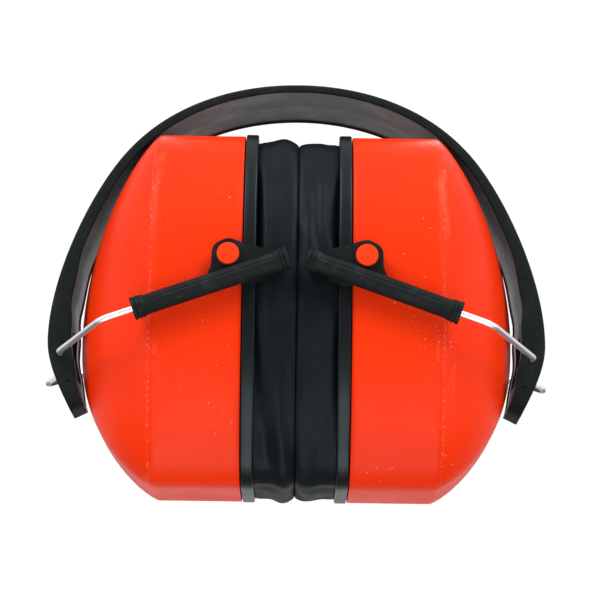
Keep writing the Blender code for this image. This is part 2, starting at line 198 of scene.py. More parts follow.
def cut(piece: Thing, *cutters: Thing) -> None:
    """Take cutters out of a piece, and throw the cutters away.

    Args:
        piece: the piece that loses material.
        cutters: closed shapes to take out of it.
    """
    for cutter in cutters:
        modifier = piece.modifiers.new("cut", "BOOLEAN")
        modifier.operation = "DIFFERENCE"
        modifier.solver = "EXACT"
        modifier.object = cutter
        choose(piece)
        bpy.ops.object.modifier_apply(modifier=modifier.name)
        bpy.data.objects.remove(cutter)


def joined(name: str, *parts: Thing) -> Thing:
    """Join parts into one piece under a name, and return it.

    Args:
        name: the joined piece's name.
        parts: the parts, which become one.

    Returns:
        The joined piece.
    """
    choose(parts[0])
    for part in parts[1:]:
        part.select_set(True)
    bpy.ops.object.join()
    parts[0].name = parts[0].data.name = name
    return parts[0]


def mirrored(piece: Thing, name: str) -> Thing:
    """A mirror image of a piece across the plane x = 0, with a mesh of its own.

    Args:
        piece: the piece to copy.
        name: the copy's name.

    Returns:
        The mirrored copy.
    """
    choose(piece)
    bpy.ops.object.duplicate()
    copy = bpy.context.object
    copy.name = copy.data.name = name
    with editing(copy) as mesh:
        for vert in mesh.verts:
            vert.co.x = -vert.co.x
        bpy.ops.mesh.select_all(action="SELECT")
        bpy.ops.mesh.flip_normals()
    return copy


def signed_power(value: float, power: float) -> float:
    """A power that keeps the sign of its base."""
    return math.copysign(abs(value) ** power, value)


def eased(share: float) -> float:
    """Smooth step from 0 to 1, held at its ends."""
    share = min(1.0, max(0.0, share))
    return share * share * (3 - 2 * share)


def hump(distance: float, width: float) -> float:
    """Bell-shaped weight that is 1 at no distance and fades out over a width."""
    return math.exp(-((distance / width) ** 2))


def bezier(start: Vector, leaving: Vector, arriving: Vector, end: Vector, share: float) -> Vector:
    """A point on a cubic curve at a share from 0 to 1.

    Args:
        start: where it starts.
        leaving: the handle at the start.
        arriving: the handle at the end.
        end: where it ends.
        share: how far along, from 0 to 1.

    Returns:
        The point on the curve.
    """
    rest = 1 - share
    return (
        start * rest**3
        + leaving * (3 * rest**2 * share)
        + arriving * (3 * rest * share**2)
        + end * share**3
    )


def corner_arc(before: Vector, corner: Vector, after: Vector, radius: float, steps: int) -> list[Vector]:
    """Points of the arc that rounds a corner.

    Args:
        before: the point before the corner.
        corner: the sharp corner.
        after: the point after it.
        radius: the arc's radius.
        steps: how many segments the arc has.

    Returns:
        steps + 1 points, from the arc's start to its end.
    """
    back, onward = (before - corner).normalized(), (after - corner).normalized()
    half = back.angle(onward) / 2
    reach = radius / math.tan(half)
    middle = corner + (back + onward).normalized() * (radius / math.sin(half))
    start, end = corner + back * reach - middle, corner + onward * reach - middle
    sweep = start.angle(end)
    points = []
    for step in range(steps + 1):
        share = step / steps
        spoke = start * math.sin((1 - share) * sweep) + end * math.sin(share * sweep)
        points.append(middle + spoke / math.sin(sweep))
    return points


def rounded_outline(corners: Sequence[Pair], radii: Sequence[float], steps: int = 4) -> list[Vector]:
    """Closed outline in a plane with every corner rounded.

    Args:
        corners: the sharp corners, in order.
        radii: one radius for each corner.
        steps: segments in each arc.

    Returns:
        The outline's points.
    """
    points = [Vector((*corner, 0.0)) for corner in corners]
    outline: list[Vector] = []
    for index, radius in enumerate(radii):
        before, after = points[index - 1], points[(index + 1) % len(points)]
        outline += corner_arc(before, points[index], after, radius, steps)
    return outline


def rounded_path(corners: Sequence[Vector], radii: Sequence[float]) -> list[Vector]:
    """Open path whose inner corners are rounded, with a point about every 8 degrees of bend.

    Args:
        corners: the corner points.
        radii: the radius that rounds each corner.

    Returns:
        The points of the path.
    """
    path = [corners[0]]
    for before, corner, after, radius in zip(corners, corners[1:], corners[2:], radii):
        bend = math.pi - (before - corner).angle(after - corner)
        path += corner_arc(before, corner, after, radius, max(3, round(math.degrees(bend) / 8)))
    return [*path, corners[-1]]


def circle(centre: Vector, along: Vector, across: Vector, radius: float, count: int) -> Ring:
    """Ring of points round an axis.

    Args:
        centre: the ring's centre.
        along: unit vector of the axis.
        across: unit vector towards the first point.
        radius: the ring's radius.
        count: how many points.

    Returns:
        The points.
    """
    sideways = along.cross(across)
    angles = [2 * math.pi * step / count for step in range(count)]
    return [centre + (across * math.cos(a) + sideways * math.sin(a)) * radius for a in angles]


def turned(
    name: str, centre: Vector, along: Vector, across: Vector, profile: Sequence[Pair],
    around: bool = False, count: int = 40,
) -> Thing:
    """Turn a profile of (distance, radius) pairs about an axis, as on a lathe.

    Args:
        name: the new piece's name.
        centre: where the distance is 0.
        along: unit vector of the axis.
        across: unit vector square to it.
        profile: the turned outline.
        around: whether the profile closes on itself, as a tube's does.
        count: points round the axis.

    Returns:
        The turned piece.
    """
    rings = [circle(centre + along * d, along, across, r, count) for d, r in profile]
    return extrude_through(name, rings, around)


@dataclass(frozen=True)
class Oval:
    """An upright oval round a cup: a superellipse with a flat at its top and bottom."""

    half_width: float
    low: float
    high: float
    power: float = 2.3
    flat_share: float = 0.35
    quarter: int = 26

    def inset(self, amount: float) -> "Oval":
        """The same oval, smaller by an amount all round."""
        return Oval(self.half_width - amount, self.low + amount, self.high - amount)

    def towards(self, other: "Oval", share: float) -> "Oval":
        """An oval part of the way to another one."""
        mine, theirs = (self.half_width, self.low, self.high), (other.half_width, other.low, other.high)
        return Oval(*[a + (b - a) * share for a, b in zip(mine, theirs)])

    def ring(self, x: float) -> Ring:
        """The oval's points in the plane at x.

        Args:
            x: the place along x.

        Returns:
            The points of the loop.
        """
        flat = self.flat_share * self.half_width
        middle, rise = (self.high + self.low) / 2, (self.high - self.low) / 2
        points = []
        for quadrant in range(4):
            shift = flat if quadrant in (0, 3) else -flat
            for step in range(self.quarter + 1):
                angle = (quadrant + step / self.quarter) * math.pi / 2
                if step == self.quarter and quadrant in (1, 3):
                    continue
                y = shift + (self.half_width - flat) * signed_power(math.cos(angle), 2 / self.power)
                z = middle + rise * signed_power(math.sin(angle), 2 / self.power)
                points.append(Vector((x, y, z)))
            if quadrant in (0, 2):
                points += self._along_flat(points[-1], flat)
        return points

    def _along_flat(self, start: Vector, flat: float, count: int = 5) -> Ring:
        """Points between the two ends of a flat."""
        way = -2 * flat if start.y > 0 else 2 * flat
        return [start + Vector((0, way * (step + 1) / (count + 1), 0)) for step in range(count)]


# Finishes: node networks written as sums.


@dataclass
class Signal:
    """A number that varies over a surface. Arithmetic on it adds Math nodes."""

    net: "Net"
    socket: bpy.types.NodeSocket

    def __add__(self, other: "Signal | float") -> "Signal":
        """Sum."""
        return self.net.math("ADD", self, other)

    __radd__ = __add__

    def __sub__(self, other: "Signal | float") -> "Signal":
        """Difference."""
        return self.net.math("SUBTRACT", self, other)

    def __rsub__(self, other: float) -> "Signal":
        """Difference from a plain number."""
        return self.net.math("SUBTRACT", other, self)

    def __mul__(self, other: "Signal | float") -> "Signal":
        """Product."""
        return self.net.math("MULTIPLY", self, other)

    __rmul__ = __mul__

    def __abs__(self) -> "Signal":
        """Size without the sign."""
        return self.net.math("ABSOLUTE", self)

    def over(self, low: float, high: float) -> "Signal":
        """A mask that rises smoothly from 0 at low to 1 at high.

        Args:
            low: the value that becomes 0.
            high: the value that becomes 1.

        Returns:
            The new signal.
        """
        sockets = {"Value": self, "From Min": low, "From Max": high}
        settings = {"interpolation_type": "SMOOTHSTEP"}
        return self.net.add("ShaderNodeMapRange", sockets, settings)

    def near(self, centre: float, width: float) -> "Signal":
        """A mask that is 1 at a value and falls smoothly to 0 a width away."""
        return 1 - abs(self - centre).over(0.0, width)


Value = Signal | float | Sequence[float]


class Net:
    """The nodes of one material, around its Principled shader."""

    def __init__(self, name: str) -> None:
        """Start a material with nothing but its shader.

        Args:
            name: the material's name.
        """
        self.material = bpy.data.materials.new(name)
        self.material.use_nodes = True
        self.tree = self.material.node_tree
        self.shader = self.tree.nodes["Principled BSDF"]
        self.place = self.add("ShaderNodeTexCoord", {}, output="Object")

    def feed(self, socket: bpy.types.NodeSocket, value: Value) -> None:
        """Link a signal to a socket, or set the socket to a constant.

        Args:
            socket: the socket to fill.
            value: a signal or a constant.
        """
        if isinstance(value, Signal):
            self.tree.links.new(value.socket, socket)
        else:
            socket.default_value = value

    def add(
        self, kind: str, sockets: Mapping[str | int, Value],
        settings: Mapping[str, object] | None = None, output: str | int = 0,
    ) -> Signal:
        """Make any node.

        Args:
            kind: the node's type.
            sockets: a value or a signal for each input that matters.
            settings: the node's own settings, made first.
            output: which output to hand back.

        Returns:
            That output.
        """
        node = self.tree.nodes.new(kind)
        for key, value in (settings or {}).items():
            setattr(node, key, value)
        for key, value in sockets.items():
            self.feed(node.inputs[key], value)
        return Signal(self, node.outputs[output])

    def math(self, operation: str, *values: Value) -> Signal:
        """One Math node."""
        return self.add("ShaderNodeMath", dict(enumerate(values)), {"operation": operation})

    def stretched(self, scale: Sequence[float], turn: Sequence[float] = (0, 0, 0)) -> Signal:
        """Object coordinates, turned and then scaled along each axis."""
        turned_place = self.add("ShaderNodeMapping", {"Vector": self.place, "Rotation": turn})
        return self.add("ShaderNodeMapping", {"Vector": turned_place, "Scale": scale})

    def axis(self, letter: str) -> Signal:
        """One object coordinate, in metres."""
        return self.add("ShaderNodeSeparateXYZ", {"Vector": self.place}, output=letter)

    def noise(self, per_metre: float, detail: float = 4.0, where: Signal | None = None) -> Signal:
        """Cloudy noise from 0 to 1."""
        sockets = {"Vector": where or self.place, "Scale": per_metre, "Detail": detail}
        return self.add("ShaderNodeTexNoise", sockets)

    def cells(self, per_metre: float, feature: str = "F1", where: Signal | None = None) -> Signal:
        """Distance to the nearest cell point or cell wall, in cells."""
        sockets = {"Vector": where or self.place, "Scale": per_metre}
        return self.add("ShaderNodeTexVoronoi", sockets, {"feature": feature}, "Distance")

    def blend(self, mask: Value, first: Value, second: Value) -> Signal:
        """A colour that goes from the first to the second as a mask rises."""
        sockets = {0: mask, 6: self._colour(first), 7: self._colour(second)}
        return self.add("ShaderNodeMix", sockets, {"data_type": "RGBA"}, 2)

    def _colour(self, value: Value) -> Value:
        """A plain colour with its alpha, or a signal as it is."""
        return value if isinstance(value, Signal) else (*value, 1.0)

    def finish(self, colour: Value, roughness: Value, relief: Signal | None = None,
               **constants: float | Colour) -> bpy.types.Material:
        """Wire the shader up.

        Args:
            colour: base colour, plain or varying.
            roughness: roughness, plain or varying.
            relief: height of the surface in metres.
            constants: other sockets, with underscores for spaces in their names.

        Returns:
            The finished material.
        """
        base = self._colour(colour)
        self.feed(self.shader.inputs["Base Color"], base)
        self.feed(self.shader.inputs["Roughness"], roughness)
        if relief is not None:
            bump = self.add("ShaderNodeBump", {"Strength": 1.0, "Distance": 1.0, "Height": relief})
            self.feed(self.shader.inputs["Normal"], bump)
        for key, value in constants.items():
            socket = self.shader.inputs[key.replace("_", " ")]
            socket.default_value = (*value, 1.0) if isinstance(value, tuple) else value
        return self.material


@dataclass(frozen=True)
class MouldedPlastic:
    """Black moulded plastic with a fine grain, rubbed paler in patches."""

    colour: Colour = (0.0055, 0.0075, 0.0080)
    rubbed: Colour = (0.014, 0.017, 0.018)
    roughness: float = 0.58
    specular: float = 0.15
    grain_cell: float = 0.35
    grain_depth: float = 0.022
    patch: float = 9.0

    def make(self, name: str) -> bpy.types.Material:
        """Build the material under a name.

        Args:
            name: the material's name.

        Returns:
            The material.
        """
        net = Net(name)
        patches = net.noise(1 / (self.patch * MM), 5.0).over(0.48, 0.72)
        grain = net.noise(1 / (self.grain_cell * MM), 3.0)
        scratches = net.noise(450.0, 2.0, net.stretched((0.15, 1.0, 3.0), (0.3, 0.5, 0.2))).over(0.66, 0.72)
        colour = net.blend(patches * 0.6 + scratches * 0.3, self.colour, self.rubbed)
        roughness = self.roughness + grain * 0.10 - patches * 0.05 + scratches * 0.06
        relief = grain * (self.grain_depth * MM) - scratches * (0.004 * MM)
        return net.finish(colour, roughness, relief, Specular_IOR_Level=self.specular, Specular_Tint=COOL)


@dataclass(frozen=True)
class GrainedLining:
    """The band's inner face: leather grain in front of its middle crease, plainer behind it."""

    colour: Colour = (0.038, 0.044, 0.046)
    pale: Colour = (0.080, 0.090, 0.093)
    behind: Colour = (0.038, 0.042, 0.046)
    roughness: float = 0.38
    cell: float = 0.9
    depth: float = 0.026

    def make(self, name: str) -> bpy.types.Material:
        """Build the material under a name.

        Args:
            name: the material's name.

        Returns:
            The material.
        """
        net = Net(name)
        front = net.axis("Y").over(0.0006, -0.0006)
        walls = net.cells(1 / (self.cell * MM), "DISTANCE_TO_EDGE").over(0.0, 0.16)
        fine = net.noise(3200.0, 3.0)
        patches = net.noise(110.0, 4.0).over(0.42, 0.68)
        grained = net.blend(walls * 0.35 + patches * 0.4, self.colour, self.pale)
        colour = net.blend(front, net.blend(patches * 0.5, self.behind, self.colour), grained)
        relief = walls * front * (self.depth * MM) + fine * (0.008 * MM)
        roughness = self.roughness + fine * 0.1 - patches * 0.06
        return net.finish(colour, roughness, relief, Specular_IOR_Level=0.60, Specular_Tint=COOL)


@dataclass(frozen=True)
class ShellPlastic:
    """Orange satin plastic with a faint orange peel and dusty specks, paler along the crease edge: partly
    scuffing, partly a painted highlight.
    """

    colour: Colour = (0.89, 0.036, 0.0022)
    deep: Colour = (0.83, 0.027, 0.0014)
    # Paler orange along the crease: partly scuffing, partly a painted highlight of the crease edge.
    scuff_and_highlight: Colour = (0.92, 0.110, 0.040)
    # Pale colour of the specks and dust, also used for the painted highlight line on the crease edge.
    speck_and_highlight: Colour = (0.95, 0.62, 0.50)
    roughness: float = 0.34
    crease_x: float = 43.5
    peel_depth: float = 0.010

    def make(self, name: str, worn: float = 1.0) -> bpy.types.Material:
        """Build the material under a name.

        Args:
            name: the material's name.
            worn: how strong the scuffing, the specks and the painted crease highlight are, from 0 to 1.

        Returns:
            The material.
        """
        net = Net(name)
        clouds = net.noise(38.0, 5.0).over(0.35, 0.65)
        peel = net.noise(850.0, 2.0)
        fine = net.noise(5200.0, 3.0)
        # The crease band is painted paler: scuffing, with a painted highlight where the crease edge catches
        # the light.
        crease = abs(net.axis("X")).near(self.crease_x * MM, 5.5 * MM)
        streaks = net.noise(240.0, 6.0, net.stretched((1.0, 1.0, 0.25))).over(0.56, 0.74)
        rubs = net.noise(1500.0, 4.0).over(0.62, 0.78)
        scuffing_and_highlight = (streaks * crease * 0.55 + rubs * crease * 0.5 + streaks * rubs * 0.25) * worn
        # Painted highlight: a thin, broken pale line right on the crease edge.
        line = abs(net.axis("X")).near(self.crease_x * MM, 0.7 * MM) * net.noise(1400.0, 4.0).over(0.52, 0.70)
        dots = (1 - net.cells(330.0).over(0.035, 0.070)) * net.noise(60.0, 2.0).over(0.47, 0.57)
        dust = net.noise(45.0, 3.0).over(0.54, 0.70) * net.noise(2600.0, 3.0).over(0.60, 0.72)
        colour = net.blend(clouds * 0.5, self.colour, self.deep)
        colour = net.blend(scuffing_and_highlight, colour, self.scuff_and_highlight)
        colour = net.blend((line * 0.22 + dust * 0.14) * worn, colour, self.speck_and_highlight)
        colour = net.blend(dots * (0.70 * worn), colour, self.speck_and_highlight)
        roughness = self.roughness + clouds * 0.05 + scuffing_and_highlight * 0.2 + fine * 0.06
        relief = peel * (self.peel_depth * MM) + fine * (0.0012 * MM) + dots * (0.02 * worn * MM)
        return net.finish(colour, roughness, relief, Specular_IOR_Level=0.12)


@dataclass(frozen=True)
class DrawnSteel:
    """Bright spring wire, with fine marks of drawing and a few dull spots."""

    colour: Colour = (0.90, 0.89, 0.92)
    dull: Colour = (0.66, 0.65, 0.67)
    roughness: float = 0.34

    def make(self, name: str) -> bpy.types.Material:
        """Build the material under a name.

        Args:
            name: the material's name.

        Returns:
            The material.
        """
        net = Net(name)
        lines = net.noise(2600.0, 3.0, net.stretched((0.06, 1.0, 1.0), (0.0, 0.34, 0.0)))
        spots = net.noise(420.0, 4.0).over(0.60, 0.74)
        colour = net.blend(spots * 0.5, self.colour, self.dull)
        roughness = self.roughness + lines * 0.12 + spots * 0.12
        return net.finish(colour, roughness, lines * (0.003 * MM), Metallic=1.0)


@dataclass(frozen=True)
class SoftVinyl:
    """Soft black vinyl with a fine skin grain and a dull sheen."""

    colour: Colour = (0.0036, 0.0050, 0.0060)
    bloom: Colour = (0.0070, 0.0092, 0.0104)
    roughness: float = 0.44
    cell: float = 0.55
    depth: float = 0.010

    def make(self, name: str) -> bpy.types.Material:
        """Build the material under a name.

        Args:
            name: the material's name.

        Returns:
            The material.
        """
        net = Net(name)
        walls = net.cells(1 / (self.cell * MM), "DISTANCE_TO_EDGE").over(0.0, 0.2)
        fine = net.noise(6000.0, 2.0)
        creases = net.noise(520.0, 5.0, net.stretched((1.0, 1.0, 0.35)))
        clouds = net.noise(75.0, 4.0).over(0.4, 0.68)
        colour = net.blend(clouds * 0.6, self.colour, self.bloom)
        roughness = self.roughness + clouds * 0.08 + fine * 0.07
        relief = walls * (self.depth * MM) + creases * (0.03 * MM) + fine * (0.002 * MM)
        return net.finish(colour, roughness, relief, Specular_IOR_Level=0.15, Specular_Tint=COOL)


@dataclass(frozen=True)
class OpenFoam:
    """Open-cell foam, all pores, with painted shade in their pits."""

    colour: Colour = (0.085, 0.085, 0.092)
    # Painted shade: the dark colour given to the pits of the pores.
    pore_shade: Colour = (0.012, 0.012, 0.014)
    cell: float = 1.1
    depth: float = 0.35

    def make(self, name: str) -> bpy.types.Material:
        """Build the material under a name.

        Args:
            name: the material's name.

        Returns:
            The material.
        """
        net = Net(name)
        pores = net.cells(1 / (self.cell * MM)).over(0.15, 0.75)
        small = net.cells(2.3 / (self.cell * MM)).over(0.1, 0.7)
        clouds = net.noise(90.0, 3.0)
        # Painted shade: darkest where the bump is lowest, in the pores.
        colour = net.blend(pores * 0.6 + small * 0.3 + clouds * 0.1, self.pore_shade, self.colour)
        relief = (pores + small * 0.5) * (self.depth * MM)
        return net.finish(colour, 0.95, relief)


@dataclass(frozen=True)
class PaleFloor:
    """Plain pale table top with only an upper face: it is clear from below."""

    colour: Colour = (0.90, 0.90, 0.90)
    worn: Colour = (0.88, 0.88, 0.88)

    def make(self, name: str) -> bpy.types.Material:
        """Build the material under a name.

        Args:
            name: the material's name.

        Returns:
            The material.
        """
        net = Net(name)
        mottle = net.noise(14.0, 3.0)
        net.finish(net.blend(mottle, self.colour, self.worn), 0.7 + mottle * 0.1)
        behind = net.add("ShaderNodeNewGeometry", {}, output="Backfacing")
        clear = net.add("ShaderNodeBsdfTransparent", {})
        shader = Signal(net, net.shader.outputs["BSDF"])
        both = net.add("ShaderNodeMixShader", {0: behind, 1: shader, 2: clear})
        net.feed(net.tree.nodes["Material Output"].inputs["Surface"], both)
        return net.material


def dress(piece: Thing, body: str, slot: str, *materials: bpy.types.Material) -> None:
    """Give a piece its materials and its body.

    Args:
        piece: the finished piece.
        body: the frame's body that it moves with.
        slot: the record's material slot; not used.
        materials: its materials, in the order of its material numbers.
    """
    piece.data.materials.clear()
    for material in materials:
        piece.data.materials.append(material)
    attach(piece, body)
    LOG.info("%s: %d faces, on %s", piece.name, len(piece.data.polygons), body)


# The sub-assemblies, in the order that they hang on each other.


@dataclass(frozen=True)
class Axes:
    """The joints' places on the right side, read from the frame."""

    pivot: Vector
    pin: Vector

    @classmethod
    def from_frame(cls) -> "Axes":
        """Read where the yoke folds and the cup tilts, in millimetres."""
        places = {joint["name"]: joint.get("pos_m") for joint in frame["joints"]}
        return cls(Vector(places["fold_right"]) / MM, Vector(places["tilt_right"]) / MM)

    @property
    def along(self) -> Vector:
        """Direction of a leg, from the fold's pivot inwards and up."""
        travel = next(j["axis"] for j in frame["joints"] if j["name"] == "height_right")
        return Vector(travel).normalized()

    @property
    def above(self) -> Vector:
        """Direction square to a leg, towards the pin."""
        return Vector((-self.along.z, 0, self.along.x)) * -1


@dataclass
class Headband:
    """The moulded strap, with a raised rim round a grained lining, and a window at each end."""

    axes: Axes
    half_width: float = 17.5
    knots: tuple[Pair, ...] = ((0.0, 125.6), (54.9, 101.0), (75.25, 44.7), (68.4, 24.0))
    ways: tuple[Pair, ...] = ((1.0, 0.0), (0.6, -0.8), (0.0, -1.0), (-0.45, -0.893))
    handles: tuple[Pair, ...] = ((19.4, 22.8), (16.6, 18.5), (6.0, 10.0))
    steps: tuple[int, ...] = (34, 34, 40)
    walls: tuple[Pair, ...] = (
        (0.0, 2.3), (0.40, 2.9), (0.62, 3.8), (0.74, 5.4), (0.82, 7.0), (0.90, 7.0), (1.0, 4.7),
    )
    rim_width: float = 1.3
    rim_height: float = 0.45
    ridge: float = 0.35
    corner: float = 12.0
    tip_crowding: float = 1.8
    end_round: float = 0.5
    window_half: float = 7.5
    window_below: float = 6.6
    window_above: float = 8.7
    slot_width: float = 2.5
    slot_length: float = 5.2
    slot_slope: float = math.radians(236.0)
    mark_shares: tuple[float, ...] = (0.2, 0.52, 0.82)
    mark_radius: float = 0.75
    mark_depth: float = 0.18

    def outer_curve(self) -> list[Vector]:
        """Points of the right half of the outer face, from the top to the tip.

        Returns:
            The points of the curve.
        """
        knots = [Vector((x, 0, z)) for x, z in self.knots]
        ways = [Vector((x, 0, z)) for x, z in self.ways]
        curve = [knots[0]]
        for index, ((leave, arrive), steps) in enumerate(zip(self.handles, self.steps)):
            leaving = knots[index] + ways[index] * leave
            arriving = knots[index + 1] - ways[index + 1] * arrive
            crowding = self.tip_crowding if index == 2 else 1.0
            for step in range(1, steps + 1):
                share = 1 - (1 - step / steps) ** crowding
                curve.append(bezier(knots[index], leaving, arriving, knots[index + 1], share))
        return curve

    def wall_at(self, share: float) -> float:
        """The wall's thickness at a share of the way from the top to a tip.

        Args:
            share: how far along, from 0 to 1.

        Returns:
            The thickness there.
        """
        for (low, low_wall), (high, high_wall) in zip(self.walls, self.walls[1:]):
            if share <= high:
                return low_wall + (high_wall - low_wall) * eased((share - low) / (high - low))
        return self.walls[-1][1]

    def half_at(self, from_tip: float) -> float:
        """Half the strap's width, which falls off round the corners of its tips."""
        drop = max(0.0, self.corner - from_tip)
        return self.half_width - self.corner + math.sqrt(max(0.0, self.corner**2 - drop**2))

    def section(self, half: float, wall: float, inset: float) -> list[Vector]:
        """Outline (across, depth) of the strap: plain outside, a rim and two drafted halves inside.

        Args:
            half: half the strap's width.
            wall: its thickness at the rim.
            inset: how far the whole outline has shrunk, where the tip rounds off.

        Returns:
            The outline, with depth in y.
        """
        half, bottom, floor = half - inset, wall - inset, wall - max(self.rim_height, inset)
        lip = half - self.rim_width
        corners = (
            (-half, inset), (0.0, inset), (half, inset), (half, bottom), (lip, bottom),
            (lip - 0.35, floor), (0.0, floor + self.ridge), (0.35 - lip, floor),
            (-lip, bottom), (-half, bottom),
        )
        radii = (0.8, 3.0, 0.8, 0.35, 0.25, 0.25, 0.5, 0.25, 0.25, 0.35)
        shrink = min(1.0, (wall - 2 * inset) / 2.3)
        outline = []
        for index, radius in enumerate(radii):
            here = Vector((*corners[index], 0))
            if index == 1:
                outline += [here + Vector((across * half, 0, 0)) for across in (-0.6, -0.2, 0.2, 0.6)]
                continue
            before = Vector((*corners[index - 1], 0))
            after = Vector((*corners[(index + 1) % len(corners)], 0))
            outline += corner_arc(before, here, after, radius * shrink, 4)
        return outline

    def stations(self) -> list[tuple[Vector, Vector, float, float, float]]:
        """Place, outward normal, half width, wall and inset at each station of the right half.

        Returns:
            One entry for each station.
        """
        curve = self.outer_curve()
        lengths = [0.0]
        for low, high in zip(curve, curve[1:]):
            lengths.append(lengths[-1] + (high - low).length)
        found = []
        for index, (point, length) in enumerate(zip(curve, lengths)):
            ahead, behind = curve[min(index + 1, len(curve) - 1)], curve[max(index - 1, 0)]
            tangent = (ahead - behind).normalized() if index else Vector((1, 0, 0))
            normal = Vector((-tangent.z, 0, tangent.x))
            from_tip = lengths[-1] - length
            drop = max(0.0, self.end_round - from_tip)
            inset = self.end_round - math.sqrt(self.end_round**2 - drop**2)
            wall = self.wall_at(length / lengths[-1])
            found.append((point, normal, self.half_at(from_tip), wall, inset * 0.8))
        return found

    def rings(self) -> list[Ring]:
        """Sections of the whole strap, from the left tip over the top to the right tip.

        Returns:
            The loops, in order.
        """
        half = self.stations()
        flip = Vector((-1, 1, 1))
        whole = [(p * flip, n * flip, *sizes) for p, n, *sizes in reversed(half[1:])] + half
        return [
            [point - normal * spot.y + Vector((0, spot.x, 0)) for spot in self.section(*sizes)]
            for point, normal, *sizes in whole
        ]

    def window(self, side: Side) -> Thing:
        """A round-cornered block that cuts the window in which the yoke's crank swings.

        Args:
            side: the side of the head.

        Returns:
            The cutter.
        """
        pivot = self.axes.pivot
        deselect()
        height = (self.window_above + self.window_below) * MM
        middle = pivot.z + (self.window_above - self.window_below) / 2
        bpy.ops.mesh.primitive_cube_add(size=1.0, location=(side.value * pivot.x * MM, 0, middle * MM),
                                        scale=(20 * MM, 2 * self.window_half * MM, height))
        block = bpy.context.object
        bpy.ops.object.transform_apply(location=False, rotation=False, scale=True)
        with editing(block) as mesh:
            bpy.ops.mesh.select_all(action="DESELECT")
            for edge in mesh.edges:
                way = edge.verts[0].co - edge.verts[1].co
                edge.select_set(abs(way.x) > way.length * 0.9)
            bpy.ops.mesh.bevel(offset=1.1 * MM, segments=5)
        return block

    def slot(self, side: Side) -> Thing:
        """A round peg drawn out into a slot, from the pivot down and inwards, through both cheeks.

        Args:
            side: the side of the head.

        Returns:
            The cutter.
        """
        pivot = self.axes.pivot
        deselect()
        bpy.ops.mesh.primitive_cylinder_add(
            vertices=32, radius=self.slot_width / 2 * MM, depth=(2 * self.half_width + 2) * MM,
            location=(side.value * pivot.x * MM, 0, pivot.z * MM), rotation=(math.pi / 2, 0, 0))
        peg = bpy.context.object
        bpy.ops.object.transform_apply(location=False, rotation=True, scale=False)
        way = Vector((side.value * math.cos(self.slot_slope), 0, math.sin(self.slot_slope)))
        with editing(peg) as mesh:
            select_where(mesh, lambda point: point.dot(way) > 1e-6)
            bpy.ops.transform.translate(value=way * (self.slot_length * MM))
        return peg

    def marks(self, side: Side, face: Face) -> list[Thing]:
        """Shallow round pegs that leave the mould's pin marks along a rim.

        Args:
            side: the side of the head.
            face: the front or the rear.

        Returns:
            The cutters.
        """
        stations = self.stations()
        pegs = []
        for share in self.mark_shares:
            point, normal, half, wall, _ = stations[round(share * (len(stations) - 1))]
            centre = (point - normal * (wall / 2)) * Vector((side.value, 1, 1))
            centre.y = face.value * half
            out = Vector((0, face.value, 0))
            profile = ((-self.mark_depth, self.mark_radius - 0.1), (1.0, self.mark_radius + 0.1))
            pegs.append(turned("mark", centre, out, Vector((1, 0, 0)), profile, count=20))
        return pegs

    def build(self) -> Thing:
        """Loft the strap, then cut its windows, slots and marks.

        Returns:
            The piece.
        """
        band = extrude_through("headband_strap", self.rings())
        for side in Side:
            cut(band, self.window(side), self.slot(side))
            for face in Face:
                cut(band, *self.marks(side, face))
        smooth_shade(band, 38.0)
        return band

    def tell_lining(self, band: Thing) -> None:
        """Give the lining's faces the second material: those within the rim that face inwards.

        Args:
            band: the headband.
        """
        inside = self.half_width - self.rim_width - 0.1
        for face in band.data.polygons:
            centre = face.center
            inwards = face.normal.dot(Vector((-centre.x, 0, 50 * MM - centre.z)).normalized())
            if abs(centre.y) < inside * MM and inwards > 0.3:
                face.material_index = 1

    def dress(self, band: Thing) -> None:
        """Matt rim and outside, and a grained lining.

        Args:
            band: the headband.
        """
        rim = MouldedPlastic().make("band_plastic_finish")
        dress(band, "headband", "band_plastic", rim, GrainedLining().make("band_lining_finish"))
        self.tell_lining(band)
        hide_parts("headband")


@dataclass
class Yoke:
    """One bent spring wire: two legs, splayed outwards and cranked through the band's window."""

    axes: Axes
    leg_y: float = 44.6
    leg_end: float = 70.0
    splay_start: float = 15.0
    splay_y: float = 20.6
    radius: float = 0.95
    crank_y: float = 6.0
    knee: tuple[float, float, float] = (1.2, -4.4, 4.2)
    tip: Pair = (6.6, -7.1)
    bends: tuple[float, ...] = (5.0, 2.4, 1.7, 1.8, 2.4)
    count: int = 20

    def path(self) -> list[Vector]:
        """Centre line on the right side, from the front leg's end to the rear leg's.

        Returns:
            The points of the path.
        """
        pivot, along = self.axes.pivot, self.axes.along
        knee_x, knee_z, knee_y = self.knee
        half = [
            pivot + Vector((0, -self.leg_y, 0)) + along * self.leg_end,
            pivot + Vector((0, -self.leg_y, 0)) + along * self.splay_start,
            pivot + Vector((0, -self.splay_y, 0)),
            pivot + Vector((0, -self.crank_y, 0)),
            pivot + Vector((knee_x, -knee_y, knee_z)),
        ]
        tip = pivot + Vector((self.tip[0], 0, self.tip[1]))
        rear = [Vector((point.x, -point.y, point.z)) for point in reversed(half)]
        return rounded_path([*half, tip, *rear], (*self.bends, *self.bends[3::-1]))

    def build(self) -> Thing:
        """Extrude a circle along the wire's centre line.

        Returns:
            The piece.
        """
        path = self.path()
        across = Vector((0, 1, 0))
        rings = []
        for index, point in enumerate(path):
            tangent = (path[min(index + 1, len(path) - 1)] - path[max(index - 1, 0)]).normalized()
            across = (across - tangent * across.dot(tangent)).normalized()
            rings.append(circle(point, tangent, across, self.radius, self.count))
        wire = extrude_through("spring_wire_right", rings)
        smooth_shade(wire)
        return wire

    def dress(self, wire: Thing, side: Side) -> None:
        """Bright drawn steel."""
        dress(wire, f"yoke_{side.word}", "wire_steel", DrawnSteel().make(f"wire_finish_{side.word}"))
        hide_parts(f"yoke_wire_{side.word}")


